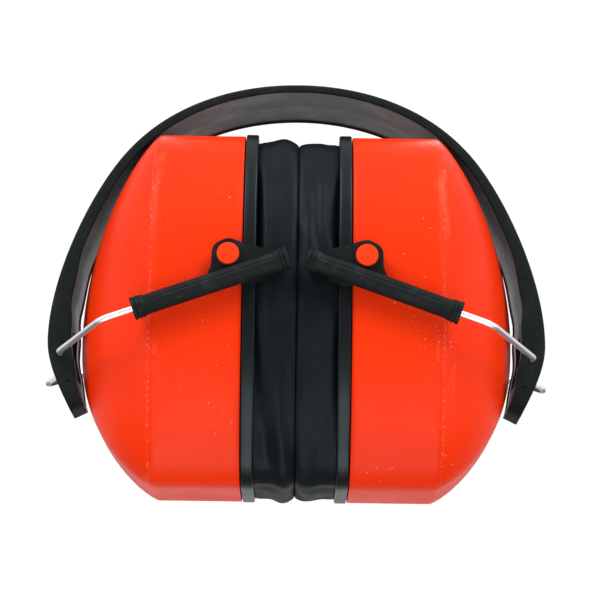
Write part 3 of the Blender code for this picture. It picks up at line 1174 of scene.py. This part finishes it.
@dataclass
class Clip:
    """A tube that slides on the wire, with grooved collars and an ear plate for the cup's pin."""

    axes: Axes
    leg_y: float = 44.6
    start: float = 24.6
    length: float = 48.0
    radius: float = 2.95
    bore: float = 1.4
    collar: float = 3.5
    collar_length: float = 4.4
    groove: float = 0.35
    seam_depth: float = 0.28
    ear_near: float = 41.6
    ear_far: float = 43.6
    ear_bevel: float = 0.3
    hole: float = 2.6

    def collar_profile(self, start: float, end: float) -> list[Pair]:
        """A collar with two turned grooves, as (distance, radius) pairs.

        Args:
            start: where it starts.
            end: where it ends.

        Returns:
            The profile.
        """
        step = (end - start) / 10
        low, high = self.collar - self.groove, self.collar
        radii = (high - 0.45, high - 0.12, high, high, low, low, high, high, low + 0.1, low + 0.1,
                 high - 0.1, high - 0.2, self.radius)
        marks = (0.0, 0.25, 0.7, 2.3, 2.6, 3.3, 3.6, 5.0, 5.3, 5.9, 6.2, 7.4, 9.6)
        return [(start + step * mark, radius) for mark, radius in zip(marks, radii)]

    def tube_profile(self) -> list[Pair]:
        """Outline of the tube and its bore.

        Returns:
            The profile.
        """
        end = self.start + self.length
        outer = self.collar_profile(self.start, self.start + self.collar_length)
        inner = self.collar_profile(end, end - self.collar_length)
        barrel = [(self.start + self.length * share, self.radius) for share in (0.2, 0.35, 0.5, 0.65, 0.8)]
        mouth = [(end, self.bore + 0.35), (end - 0.4, self.bore), (self.start + 0.4, self.bore),
                 (self.start, self.bore + 0.35)]
        return outer + barrel + inner[::-1] + mouth

    def tube(self, face: Face) -> Thing:
        """Turn the tube, then press a lengthwise moulding seam into its barrel.

        Args:
            face: the front or the rear.

        Returns:
            The tube.
        """
        centre = self.axes.pivot + Vector((0, face.value * self.leg_y, 0))
        tube = turned("tube", centre, self.axes.along, self.axes.above, self.tube_profile(), True, 64)
        out = Vector((0, face.value, 0))
        for vert in tube.data.vertices:
            offset = vert.co / MM - centre
            distance = offset.dot(self.axes.along)
            spoke = offset - self.axes.along * distance
            if spoke.length < self.radius - 0.2 or spoke.length > self.radius + 0.05:
                continue
            height = spoke.dot(self.axes.above)
            front = spoke.dot(out) > 0
            dent = hump(height - 0.75, 0.28) * self.seam_depth if front else 0.0
            vert.co -= spoke.normalized() * dent * MM
        return tube

    def ear_corners(self) -> tuple[list[Pair], list[float]]:
        """Corners (along, above) of the ear plate and the radius that rounds each.

        Returns:
            The corners, and the radius of each.
        """
        offset = self.axes.pin - self.axes.pivot
        s, n = offset.dot(self.axes.along), offset.dot(self.axes.above)
        corners = [
            (s - 9.8, 0.6), (s - 5.7, n - 1.3), (s - 3.6, n + 4.2), (s + 1.5, n + 4.9), (s + 5.6, n + 1.7),
            (s + 12.6, n - 3.0), (s + 12.6, -1.5), (s + 8.6, -2.2), (s + 8.0, -3.6),
            (s + 4.0, -3.6), (s - 4.0, -1.0),
        ]
        return corners, [1.0, 3.0, 3.6, 3.6, 3.0, 1.2, 0.4, 0.4, 0.5, 0.5, 1.0]

    def ear(self, face: Face) -> Thing:
        """Extrude the ear plate, soften its outer edge and bore the pin's hole.

        Args:
            face: the front or the rear.

        Returns:
            The plate.
        """
        outline = rounded_outline(*self.ear_corners(), steps=6)
        rings = []
        for y in (self.ear_near, self.ear_far):
            start = self.axes.pivot + Vector((0, face.value * y, 0))
            rings.append([start + self.axes.along * p.x + self.axes.above * p.y for p in outline])
        plate = extrude_through("ear", rings)
        far = self.ear_far * MM
        with editing(plate) as mesh:
            bpy.ops.mesh.select_all(action="DESELECT")
            for edge in mesh.edges:
                outer = all(abs(abs(vert.co.y) - far) < 1e-6 for vert in edge.verts)
                edge.select_set(outer)
            bpy.ops.mesh.bevel(offset=self.ear_bevel * MM, segments=3)
        pin = Vector((self.axes.pin.x, 0, self.axes.pin.z))
        ends = ((self.ear_near - 1, self.hole), (self.ear_far + 1, self.hole))
        cut(plate, turned("hole", pin, Vector((0, face.value, 0)), Vector((1, 0, 0)), ends))
        return plate

    def build(self, face: Face) -> Thing:
        """Tube and ear plate in one moulding, on the right side.

        Args:
            face: the front or the rear.

        Returns:
            The piece.
        """
        clip = joined(f"slide_clip_{face.word}_right", self.tube(face), self.ear(face))
        smooth_shade(clip, 40.0)
        return clip

    def dress(self, clip: Thing, side: Side, face: Face) -> None:
        """Black plastic, with a coarser grain than the band's.

        Args:
            clip: the clip.
            side: the side of the head.
            face: the front or the rear.
        """
        finish = MouldedPlastic(
            colour=(0.0065, 0.0078, 0.0078), rubbed=(0.020, 0.023, 0.023), roughness=0.54,
            grain_cell=0.6, grain_depth=0.040, patch=4.0,
        )
        dress(clip, f"clips_{side.word}", "clip_plastic", finish.make(f"clip_finish_{face.word}_{side.word}"))
        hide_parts(f"clip_{face.word}_{side.word}")


@dataclass
class Stud:
    """The orange button that pins a clip's ear to the cup."""

    axes: Axes
    profile: tuple[Pair, ...] = (
        (36.0, 1.7), (36.7, 2.45), (37.1, 2.45), (37.2, 2.2), (43.9, 2.2), (43.9, 3.05), (44.0, 3.25),
        (44.15, 3.3), (44.9, 3.3), (45.12, 3.24), (45.26, 3.1), (45.3, 2.9), (45.24, 2.72), (45.26, 2.5),
        (45.36, 2.0), (45.44, 1.4), (45.48, 0.7), (45.5, 0.2),
    )

    def build(self, face: Face) -> Thing:
        """Turn the stud on the pin's axis, on the right side.

        Args:
            face: the front or the rear.

        Returns:
            The piece.
        """
        pin = Vector((self.axes.pin.x, 0, self.axes.pin.z))
        out = Vector((0, face.value, 0))
        stud = turned(f"stud_{face.word}_right", pin, out, Vector((1, 0, 0)), self.profile, count=56)
        smooth_shade(stud, 40.0)
        return stud

    def dress(self, stud: Thing, side: Side, face: Face) -> None:
        """The cup's own orange, with less wear and a weaker painted crease highlight.

        Args:
            stud: the stud.
            side: the side of the head.
            face: the front or the rear.
        """
        finish = ShellPlastic(roughness=0.30, colour=(0.88, 0.048, 0.008), deep=(0.84, 0.040, 0.006))
        material = finish.make(f"stud_finish_{face.word}_{side.word}", worn=0.3)
        dress(stud, f"cup_{side.word}", "stud_plastic", material)
        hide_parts(f"pivot_stud_{face.word}_{side.word}")


@dataclass
class CupShell:
    """The deep shell: a straight wall up to a soft crease, then a dome."""

    axes: Axes
    rim_x: float = 16.3
    crease_x: float = 42.0
    apex_x: float = 66.0
    wall: float = 2.4
    outline: Oval = Oval(40.0, 0.15, 108.8)
    apex_z: float = 46.7
    dome_power: float = 1.3
    dome_top: float = 0.578
    dome_bottom: float = 0.442
    dome_side: float = 0.5
    depths: tuple[float, ...] = (
        0.012, 0.03, 0.055, 0.085, 0.12, 0.16, 0.21, 0.26, 0.32, 0.38, 0.44, 0.50, 0.56, 0.62, 0.68,
        0.74, 0.79, 0.84, 0.88, 0.915, 0.945, 0.968, 0.984, 0.994, 0.9985,
    )
    boss_radius: float = 4.4
    boss_foot: float = 37.6
    boss_top: float = 41.25

    def dome(self, depth: float) -> Oval:
        """Outline of the dome at a depth from 0, the crease, to 1, the apex.

        Args:
            depth: how deep into the dome, from 0 to 1.

        Returns:
            The outline there.
        """
        left = 1 - depth**self.dome_power
        low = self.apex_z - (self.apex_z - self.outline.low) * left**self.dome_bottom
        high = self.apex_z + (self.outline.high - self.apex_z) * left**self.dome_top
        return Oval(self.outline.half_width * left**self.dome_side, low, high)

    def dome_rings(self, wall: float) -> list[Ring]:
        """Rings of the dome, or of a surface at a distance inside it.

        Args:
            wall: how far inside the outer face.

        Returns:
            The loops, in order.
        """
        rings = []
        for depth in self.depths:
            x = self.crease_x + (self.apex_x - self.crease_x) * depth - wall * math.sqrt(depth)
            rings.append(self.dome(depth).inset(wall * (1 - depth**4)).ring(x))
        return rings

    def wall_rings(self, wall: float, edge: float) -> list[Ring]:
        """Rings of the straight wall, from the rim to the crease.

        Args:
            wall: distance inside the outer face.
            edge: radius that rounds the rim's edge.

        Returns:
            The rings.
        """
        way = 1.0 if wall == 0 else -1.0
        straight = self.outline.inset(wall)
        rings = [
            straight.inset(way * edge).ring(self.rim_x),
            straight.inset(way * edge * 0.3).ring(self.rim_x + edge * 0.3),
            straight.ring(self.rim_x + edge),
        ]
        span = self.crease_x - self.rim_x - 0.4 * wall
        shares = (0.12, 0.3, 0.5, 0.7, 0.85, 0.94, 0.985)
        rings += [straight.ring(self.rim_x + span * share) for share in shares]
        return rings

    def boss(self, face: Face) -> Thing:
        """The round pad that the ear plate turns on.

        Args:
            face: the front or the rear.

        Returns:
            The boss.
        """
        pin = Vector((self.axes.pin.x, 0, self.axes.pin.z))
        foot, top, radius = self.boss_foot, self.boss_top, self.boss_radius
        profile = ((foot, radius + 1.0), (foot + 1.4, radius + 0.35), (foot + 2.2, radius),
                   (top - 0.25, radius), (top, radius - 0.25), (top, 0.4))
        return turned("boss", pin, Vector((0, face.value, 0)), Vector((1, 0, 0)), profile, count=48)

    def build(self) -> Thing:
        """Loft the shell out over the dome and back inside it, then add the bosses.

        Returns:
            The piece.
        """
        outside = self.wall_rings(0.0, 0.35) + self.dome_rings(0.0)
        inside = self.wall_rings(self.wall, 0.3) + self.dome_rings(self.wall)
        shell = extrude_through("shell", outside[::-1] + inside)
        shell = joined("shell_right", shell, *[self.boss(face) for face in Face])
        smooth_shade(shell, 40.0)
        return shell

    def dress(self, shell: Thing, side: Side) -> None:
        """Orange satin plastic.

        Args:
            shell: the shell.
            side: the side of the head.
        """
        material = ShellPlastic().make(f"shell_finish_{side.word}")
        dress(shell, f"cup_{side.word}", "shell_plastic", material)
        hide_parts(f"cup_shell_{side.word}")


@dataclass
class Liner:
    """The block of foam in the bottom of a cup, with a dimpled face."""

    shell: CupShell
    start_x: float = 31.0
    gap: float = 1.0
    depths: tuple[float, ...] = (0.0, 0.10, 0.22, 0.36, 0.50, 0.64, 0.78, 0.92)
    shares: tuple[float, ...] = (0.06, 0.15, 0.25, 0.35, 0.45, 0.55, 0.65, 0.75, 0.84, 0.91, 0.96, 0.99)
    dimple: float = 1.0
    pitch: float = 9.0

    def build(self) -> Thing:
        """Loft a crowned block that fills the dome, and press dimples into its face.

        Returns:
            The piece.
        """
        inset = self.shell.wall + self.gap
        edge = self.shell.outline.inset(inset)
        middle = Oval(0.5, 50.0, 58.0)
        rings = []
        for share in self.shares:
            face_x = self.start_x + 2.2 * share**10
            rings.append(middle.towards(edge, share).ring(face_x))
        rings.append(edge.ring(self.start_x + 4.0))
        dome_length = self.shell.apex_x - self.shell.crease_x
        for depth in self.depths:
            x = self.shell.crease_x + dome_length * depth - inset * math.sqrt(depth)
            rings.append(self.shell.dome(depth).inset(inset * (1 - depth**4)).ring(x))
        liner = extrude_through("foam_block_right", rings)
        turn = 2 * math.pi / self.pitch
        for vert in liner.data.vertices:
            y, z = vert.co.y / MM, vert.co.z / MM
            front = vert.co.x < (self.start_x + 1.0) * MM
            if front:
                vert.co.x += self.dimple * MM * (0.5 - 0.5 * math.cos(turn * y) * math.cos(turn * z))
        smooth_shade(liner, 60.0)
        return liner

    def dress(self, liner: Thing, side: Side) -> None:
        """Dark open-cell foam.

        Args:
            liner: the foam block.
            side: the side of the head.
        """
        dress(liner, f"cup_{side.word}", "liner_foam", OpenFoam().make(f"liner_finish_{side.word}"))
        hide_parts(f"foam_liner_{side.word}")


@dataclass
class Carrier:
    """The glossy ring that closes a cup and holds its cushion."""

    outline: Oval = Oval(41.0, 0.0, 109.2)
    hole: Oval = Oval(25.0, 16.0, 92.0)
    in_x: float = 12.3
    out_x: float = 16.0
    web_x: float = 14.2
    wall: float = 16.0
    step: float = 3.9
    spigot: float = 5.3
    spigot_x: float = 17.5

    def section(self) -> list[Vector]:
        """Outline (x, inset) of the ring's wall, with every edge rounded.

        Returns:
            The outline.
        """
        corners = (
            (self.in_x, 0.0), (self.out_x, 0.0), (self.out_x, self.step), (self.spigot_x, self.step),
            (self.spigot_x, self.spigot), (self.web_x, self.spigot),
            (self.web_x, self.wall), (self.in_x, self.wall),
        )
        return rounded_outline(corners, (0.5, 0.3, 0.3, 0.3, 0.3, 0.5, 0.4, 0.4), steps=4)

    def build(self) -> Thing:
        """Loft the wall's outline right round the oval.

        Returns:
            The piece.
        """
        rings = [self.outline.towards(self.hole, spot.y / self.wall).ring(spot.x) for spot in self.section()]
        ring = extrude_through("carrier_ring_right", rings, around=True)
        smooth_shade(ring, 40.0)
        return ring

    def dress(self, ring: Thing, side: Side) -> None:
        """Glossier black plastic than the rest.

        Args:
            ring: the ring.
            side: the side of the head.
        """
        finish = MouldedPlastic(
            colour=(0.0045, 0.0058, 0.0068), rubbed=(0.009, 0.011, 0.012), roughness=0.30, specular=0.30,
            grain_cell=0.8, grain_depth=0.006, patch=14.0,
        )
        dress(ring, f"cup_{side.word}", "carrier_plastic", finish.make(f"carrier_finish_{side.word}"))
        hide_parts(f"cushion_carrier_{side.word}")


@dataclass(frozen=True)
class Fold:
    """A ridge or a valley drawn on the cushion's front wall, along a line of (x, z) points."""

    line: tuple[Pair, ...]
    width: float
    depth: float

    def lift(self, x: float, z: float) -> float:
        """How far the fold moves the wall outwards at a point.

        Args:
            x: the place along x.
            z: the height.

        Returns:
            The distance in millimetres.
        """
        spot, best, where = Vector((x, z)), 1e9, 0.0
        spans = len(self.line) - 1
        for index, (start, end) in enumerate(zip(self.line, self.line[1:])):
            a, b = Vector(start), Vector(end)
            share = min(1.0, max(0.0, (spot - a).dot(b - a) / (b - a).length_squared))
            distance = (spot - a.lerp(b, share)).length
            if distance < best:
                best, where = distance, (index + share) / spans
        fade = math.sin(math.pi * min(1.0, max(0.0, 0.06 + 0.88 * where))) ** 0.6
        return self.depth * fade * hump(best, self.width)


@dataclass(frozen=True)
class Bump:
    """A swelling or a hollow across the cushion's top (towards 1) or bottom (towards -1)."""

    towards: int
    depth: float
    width: float
    height: float

    def lift(self, place: Vector, normal: Vector) -> float:
        """How far the bump moves the wall outwards at a point (in millimetres)."""
        facing = eased((normal.z * self.towards - 0.25) / 0.5)
        return self.height * facing * hump(abs(abs(place.x) - self.depth), self.width)


@dataclass
class Cushion:
    """The soft sealed ring round the ear: vinyl over foam, swollen and folded."""

    outside: Oval = Oval(39.0, 1.2, 106.3)
    inside: Oval = Oval(20.5, 22.5, 85.5)
    back_x: float = 12.7
    front_x: float = 0.1
    wall: float = 18.5
    free_depth: float = 0.2
    flattened: float = 0.25
    squeezed: float = 5.0
    limit_x: float = 0.005
    swell_cap: float = 1.6
    growth: float = 0.010
    pressure: float = 9.0
    wrinkle: float = 0.12
    folds: Mapping[Side, tuple[Fold, ...]] = field(default_factory=lambda: {
        Side.LEFT: (
            Fold(((-12.6, 92.0), (-12.3, 82.0), (-12.1, 72.0), (-12.2, 62.0)), 1.5, -2.4),
            Fold(((-10.9, 88.0), (-10.4, 79.0), (-9.8, 68.0), (-9.6, 58.0)), 1.0, 0.6),
            Fold(
                ((-10.9, 58.0), (-10.0, 44.0), (-8.6, 36.0), (-6.8, 26.0), (-5.0, 11.0), (-2.8, -1.0)),
                1.6, 1.05,
            ),
            Fold(
                ((-6.2, 60.0), (-5.9, 46.0), (-5.7, 35.0), (-4.5, 23.0), (-3.0, 11.0), (-1.6, 0.0)),
                1.2, 0.95,
            ),
            Fold(((-8.4, 56.0), (-7.6, 42.0), (-6.8, 32.0), (-5.6, 22.0)), 1.2, -0.85),
            Fold(((-3.4, 32.0), (-3.0, 22.0), (-1.9, 11.0), (-1.0, 1.0)), 0.9, -1.1),
            Fold(((-11.6, 42.0), (-11.2, 30.0), (-10.6, 18.0), (-10.0, 8.0)), 1.6, -1.0),
            Fold(((-9.0, 15.0), (-8.6, 9.0), (-8.0, 3.0)), 1.3, -1.0),
        ),
        Side.RIGHT: (
            Fold(((12.6, 90.0), (11.9, 82.0), (11.9, 74.0), (12.5, 66.0)), 1.4, -2.4),
            Fold(((9.4, 90.0), (9.0, 83.0), (9.4, 77.0), (10.2, 72.0)), 0.7, -0.6),
            Fold(((7.6, 91.0), (7.0, 82.0), (7.6, 75.0), (9.4, 68.0)), 0.8, 0.65),
            Fold(((5.8, 91.0), (5.2, 82.0), (5.6, 74.0), (7.6, 65.0)), 0.9, -0.75),
            Fold(((3.6, 88.0), (3.2, 76.0), (4.4, 62.0), (5.4, 52.0)), 1.1, 0.55),
            Fold(((12.2, 50.0), (12.5, 36.0), (12.2, 22.0)), 1.0, -1.0),
            Fold(((2.7, 56.0), (2.5, 40.0), (2.7, 22.0)), 1.3, 0.5),
        ),
    })
    bumps: Mapping[Side, tuple[Bump, ...]] = field(default_factory=lambda: {
        Side.LEFT: (
            Bump(1, 4.4, 3.0, 1.5), Bump(1, 9.6, 4.0, 0.5),
            Bump(-1, 3.8, 2.4, 1.2), Bump(-1, 8.0, 3.4, -0.3),
        ),
        Side.RIGHT: (
            Bump(1, 6.0, 5.0, 0.3), Bump(1, 8.6, 1.4, -0.3),
            Bump(-1, 3.8, 3.0, 0.3), Bump(-1, 8.4, 2.4, -0.4),
        ),
    })

    def section(self) -> list[Vector]:
        """Outline (x, distance across the ring) of the cushion: flat behind, crowned in front.

        Returns:
            The outline.
        """
        corners = (
            (self.back_x, 0.0), (self.back_x, self.wall), (self.front_x, self.wall), (self.front_x, 0.0),
        )
        outline = rounded_outline(corners, (0.5, 0.5, 4.6, 4.6), steps=9)
        dense: list[Vector] = []
        for start, end in zip(outline, [*outline[1:], outline[0]]):
            pieces = max(1, round((end - start).length / 1.15))
            dense += [start.lerp(end, step / pieces) for step in range(pieces)]
        return dense

    def build(self, side: Side) -> Thing:
        """Loft the ring, swell it, fold it, then smooth it.

        Args:
            side: the side of the head.

        Returns:
            The piece.
        """
        rings = []
        for spot in self.section():
            rings.append(self.outside.towards(self.inside, spot.y / self.wall).ring(side.value * spot.x))
        cushion = extrude_through(f"cushion_{side.word}", rings, around=True)
        self.swell(cushion, side)
        self.press_out(cushion)
        self.fold(cushion, side)
        self.subdivide(cushion)
        self.keep_clear(cushion, side)
        smooth_shade(cushion, 180.0)
        return cushion

    def swell(self, cushion: Thing, side: Side) -> None:
        """Blow the vinyl up with cloth simulation, held where it is sealed to its plate.

        Args:
            cushion: the lofted ring.
            side: the side it is on.
        """
        start = [vert.co.copy() for vert in cushion.data.vertices]
        held = cushion.vertex_groups.new(name="held")
        for vert in cushion.data.vertices:
            depth = abs(vert.co.x) / MM
            held.add([vert.index], eased((depth - self.back_x + 1.5) / 1.2), "REPLACE")
        choose(cushion)
        cloth = cushion.modifiers.new("swell", "CLOTH")
        settings = cloth.settings
        settings.quality = 7
        settings.mass = 0.12
        settings.tension_stiffness = settings.compression_stiffness = 12.0
        settings.shear_stiffness = 4.0
        settings.bending_stiffness = 0.02
        settings.use_pressure = True
        settings.uniform_pressure_force = self.pressure
        settings.shrink_min = -self.growth
        settings.vertex_group_mass = held.name
        settings.effector_weights.gravity = 0.0
        cloth.point_cache.frame_start, cloth.point_cache.frame_end = 1, 20
        for moment in range(1, 21):
            bpy.context.scene.frame_set(moment)
        bpy.ops.object.modifier_apply(modifier=cloth.name)
        bpy.context.scene.frame_set(1)
        cap = self.swell_cap * MM
        for vert, before in zip(cushion.data.vertices, start):
            move = vert.co - before
            move.x *= self.free_depth
            vert.co = before + (move if move.length < cap else move.normalized() * cap)

    def press_out(self, cushion: Thing) -> None:
        """Stretch the ring in depth until its face presses flat against the other cushion's.

        Args:
            cushion: the swollen ring.
        """
        depths = sorted(abs(vert.co.x) / MM for vert in cushion.data.vertices)
        face = depths[int(len(depths) * 0.28)]
        stretch = self.back_x / (self.back_x - face)
        for vert in cushion.data.vertices:
            depth = self.back_x - (self.back_x - abs(vert.co.x) / MM) * stretch
            if depth < self.squeezed:
                depth = max(0.0, depth - self.flattened) * self.squeezed / (self.squeezed - self.flattened)
            vert.co.x = math.copysign(depth * MM, vert.co.x)

    def fold(self, cushion: Thing, side: Side) -> None:
        """Press the drawn folds into the front wall, and seeded ones everywhere else.

        Args:
            cushion: the swollen ring.
            side: the side it is on.
        """
        folds = self.folds[side]
        seed = Vector((side.value * 31.0, 7.0, 3.0))
        normals = [normal.vector.copy() for normal in cushion.data.vertex_normals]
        moves = []
        for vert, normal in zip(cushion.data.vertices, normals):
            place = vert.co / MM
            front = eased((-place.y - 22.0) / 8.0) * eased((-normal.y - 0.15) / 0.4)
            drawn = front * sum(one.lift(place.x, place.z) for one in folds)
            lift = sum(bump.lift(place, normal) for bump in self.bumps[side])
            stretch = Vector((place.x * 0.28, place.y * 0.07, place.z * 0.07)) + seed
            wrinkle = noise.fractal(stretch, 0.7, 2.0, 3, noise_basis="PERLIN_ORIGINAL")
            free = eased((abs(place.x) - 0.6) / 2.5) * eased((self.back_x - abs(place.x)) / 1.4)
            lift += wrinkle * self.wrinkle * free
            moves.append(normal * (lift * MM) + Vector((0, -drawn * MM, 0)))
        for vert, move in zip(cushion.data.vertices, moves):
            vert.co += move

    def subdivide(self, cushion: Thing) -> None:
        """One level of subdivision, applied.

        Args:
            cushion: the cushion.
        """
        modifier = cushion.modifiers.new("smooth", "SUBSURF")
        modifier.levels = modifier.render_levels = 1
        choose(cushion)
        bpy.ops.object.modifier_apply(modifier=modifier.name)

    def keep_clear(self, cushion: Thing, side: Side) -> None:
        """Flatten what would reach the other cushion or the carrier.

        Args:
            cushion: the ring.
            side: the side it is on.
        """
        for vert in cushion.data.vertices:
            depth = side.value * vert.co.x / MM
            depth = min(max(depth, self.limit_x), self.back_x + 0.15)
            vert.co.x = side.value * depth * MM
            vert.co.z = max(vert.co.z, 0.1 * MM)

    def dress(self, cushion: Thing, side: Side) -> None:
        """Soft black vinyl.

        Args:
            cushion: the cushion.
            side: the side of the head.
        """
        dress(cushion, f"cup_{side.word}", "cushion_vinyl", SoftVinyl().make(f"vinyl_finish_{side.word}"))
        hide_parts(f"cushion_skin_{side.word}", f"cushion_foam_{side.word}")


def dress_plate(side: Side) -> None:
    """The cushion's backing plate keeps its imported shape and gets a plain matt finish.

    Args:
        side: the side of the head.
    """
    plate = frame["nodes"][f"cushion_plate_{side.word}"]
    plate.data.materials.clear()
    plate.data.materials.append(MouldedPlastic(roughness=0.55).make(f"plate_finish_{side.word}"))


@dataclass
class Studio:
    """Pale surroundings, soft lamps, and the camera."""

    centre: Vector = field(default_factory=lambda: Vector((0.9, -17.5, 57.56)))
    distance: float = 745.0
    tilt: float = math.radians(12.0)
    roll: float = math.radians(0.8)
    lens: float = 147.48
    glow: tuple[float, float, float, float] = (-0.95, -0.2, 0.10, 0.85)
    underneath: tuple[float, float, float, float] = (-0.45, 0.05, 0.12, 1.0)
    floor_size: float = 12000.0
    floor_gap: float = 0.1
    floor_overlap: float = 39.2

    def camera(self) -> None:
        """A long lens in front of the muffs, looking up at them by the tilt."""
        data = bpy.data.cameras.new("camera")
        data.lens = self.lens
        data.sensor_width = 36.0
        data.clip_start, data.clip_end = 0.01, 20.0
        camera = bpy.data.objects.new("camera", data)
        back = Vector((0, -math.cos(self.tilt), -math.sin(self.tilt)))
        camera.location = (self.centre + back * self.distance) * MM
        upright = Quaternion((1, 0, 0), math.pi / 2 + self.tilt)
        camera.rotation_mode = "QUATERNION"
        camera.rotation_quaternion = upright @ Quaternion((0, 0, 1), self.roll)
        bpy.context.scene.collection.objects.link(camera)
        bpy.context.scene.camera = camera

    def lamp(self, name: str, towards_lamp: tuple[float, float, float], power: float, spread: float) -> None:
        """A broad, far-off soft lamp, which lights the whole table evenly.

        Args:
            name: the lamp's name.
            towards_lamp: direction from the muffs to the lamp.
            power: its strength.
            spread: how wide it looks from the muffs, in degrees.
        """
        data = bpy.data.lights.new(name, "SUN")
        data.energy = power
        data.angle = math.radians(spread)
        light = bpy.data.objects.new(name, data)
        light.rotation_mode = "QUATERNION"
        light.rotation_quaternion = Vector(towards_lamp).to_track_quat("Z", "Y")
        bpy.context.scene.collection.objects.link(light)

    def surround(self) -> None:
        """White surroundings to look at, and a softer glow that is dim in front, where the camera stands."""
        world = bpy.data.worlds.new("surround")
        world.use_nodes = True
        tree = world.node_tree
        glow = tree.nodes["Background"]
        glow.inputs["Color"].default_value = (1, 1, 1, 1)
        way = tree.nodes.new("ShaderNodeTexCoord")
        parts = tree.nodes.new("ShaderNodeSeparateXYZ")
        tree.links.new(way.outputs["Generated"], parts.inputs[0])
        both = tree.nodes.new("ShaderNodeMath")
        both.operation = "MULTIPLY"
        for index, (letter, reach) in enumerate((("Y", self.glow), ("Z", self.underneath))):
            dim = tree.nodes.new("ShaderNodeMapRange")
            dim.interpolation_type = "SMOOTHSTEP"
            for key, value in zip(("From Min", "From Max", "To Min", "To Max"), reach):
                dim.inputs[key].default_value = value
            tree.links.new(parts.outputs[letter], dim.inputs["Value"])
            tree.links.new(dim.outputs[0], both.inputs[index])
        tree.links.new(both.outputs[0], glow.inputs["Strength"])
        seen = tree.nodes.new("ShaderNodeBackground")
        seen.inputs["Color"].default_value = (1, 1, 1, 1)
        seen.inputs["Strength"].default_value = 1.05
        path = tree.nodes.new("ShaderNodeLightPath")
        mix = tree.nodes.new("ShaderNodeMixShader")
        tree.links.new(path.outputs["Is Camera Ray"], mix.inputs[0])
        tree.links.new(glow.outputs[0], mix.inputs[1])
        tree.links.new(seen.outputs[0], mix.inputs[2])
        tree.links.new(mix.outputs[0], tree.nodes["World Output"].inputs["Surface"])
        bpy.context.scene.world = world
        bpy.context.scene.view_settings.view_transform = "Standard"

    def floor(self, side: Side) -> None:
        """Half of the table top, which drops with its side's cup so that it never hides it.

        The halves overlap by as much as the cups move apart, so no gap opens between them.

        Args:
            side: the cup that the half is under.
        """
        half = self.floor_size / 2
        depth = self.floor_gap if side is Side.RIGHT else self.floor_gap + 0.1
        deselect()
        middle = side.value * (half - self.floor_overlap)
        bpy.ops.mesh.primitive_plane_add(size=self.floor_size * MM, location=(middle * MM, 0, -depth * MM))
        floor = bpy.context.object
        floor.name = f"table_top_{side.word}"
        floor.data.materials.append(PaleFloor().make(f"table_finish_{side.word}"))
        floor.visible_diffuse = floor.visible_glossy = floor.visible_shadow = False
        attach(floor, f"cup_{side.word}")

    def build(self) -> None:
        """Set the studio up."""
        self.camera()
        self.surround()
        for side in Side:
            self.floor(side)
        self.lamp("key_left", (-0.55, -0.55, 0.75), 1.8, 30.0)
        self.lamp("key_right", (0.55, -0.55, 0.75), 1.65, 30.0)
        self.lamp("low_fill", (0.0, -0.84, -0.54), 1.20, 40.0)
        self.lamp("underneath", (0.0, -0.30, -0.95), 1.25, 40.0)
        self.lamp("back_low", (0.0, 0.92, -0.34), 0.10, 40.0)
        self.lamp("side_left", (-0.85, -0.45, -0.25), 0.35, 30.0)
        self.lamp("side_right", (0.85, -0.45, -0.25), 0.50, 30.0)
        self.lamp("back", (0.1, 0.7, 0.75), 1.2, 30.0)


def build_both(build: Callable[[], Thing], finish: Callable[[Thing, Side], None], left_name: str) -> None:
    """Build a piece on the right side, mirror it to the left, and finish both.

    Args:
        build: makes the right piece.
        finish: dresses a piece for a side.
        left_name: the mirrored piece's name.
    """
    right = build()
    left = mirrored(right, left_name)
    finish(right, Side.RIGHT)
    finish(left, Side.LEFT)


def main() -> None:
    """Build the studio, then each sub-assembly in turn."""
    logging.basicConfig(level=logging.INFO, format="%(name)s: %(message)s")
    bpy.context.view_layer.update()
    Studio().build()
    axes = Axes.from_frame()
    band = Headband(axes)
    band.dress(band.build())
    yoke = Yoke(axes)
    build_both(yoke.build, yoke.dress, "spring_wire_left")
    clip, stud = Clip(axes), Stud(axes)
    for face in Face:
        for maker, name in ((clip, "slide_clip"), (stud, "stud")):
            build_both(
                lambda: maker.build(face),
                lambda piece, side: maker.dress(piece, side, face),
                f"{name}_{face.word}_left",
            )
    shell = CupShell(axes)
    build_both(shell.build, shell.dress, "shell_left")
    liner = Liner(shell)
    build_both(liner.build, liner.dress, "foam_block_left")
    carrier = Carrier()
    build_both(carrier.build, carrier.dress, "carrier_ring_left")
    cushion = Cushion()
    for side in Side:
        cushion.dress(cushion.build(side), side)
        dress_plate(side)


if __name__ == "__main__":
    main()
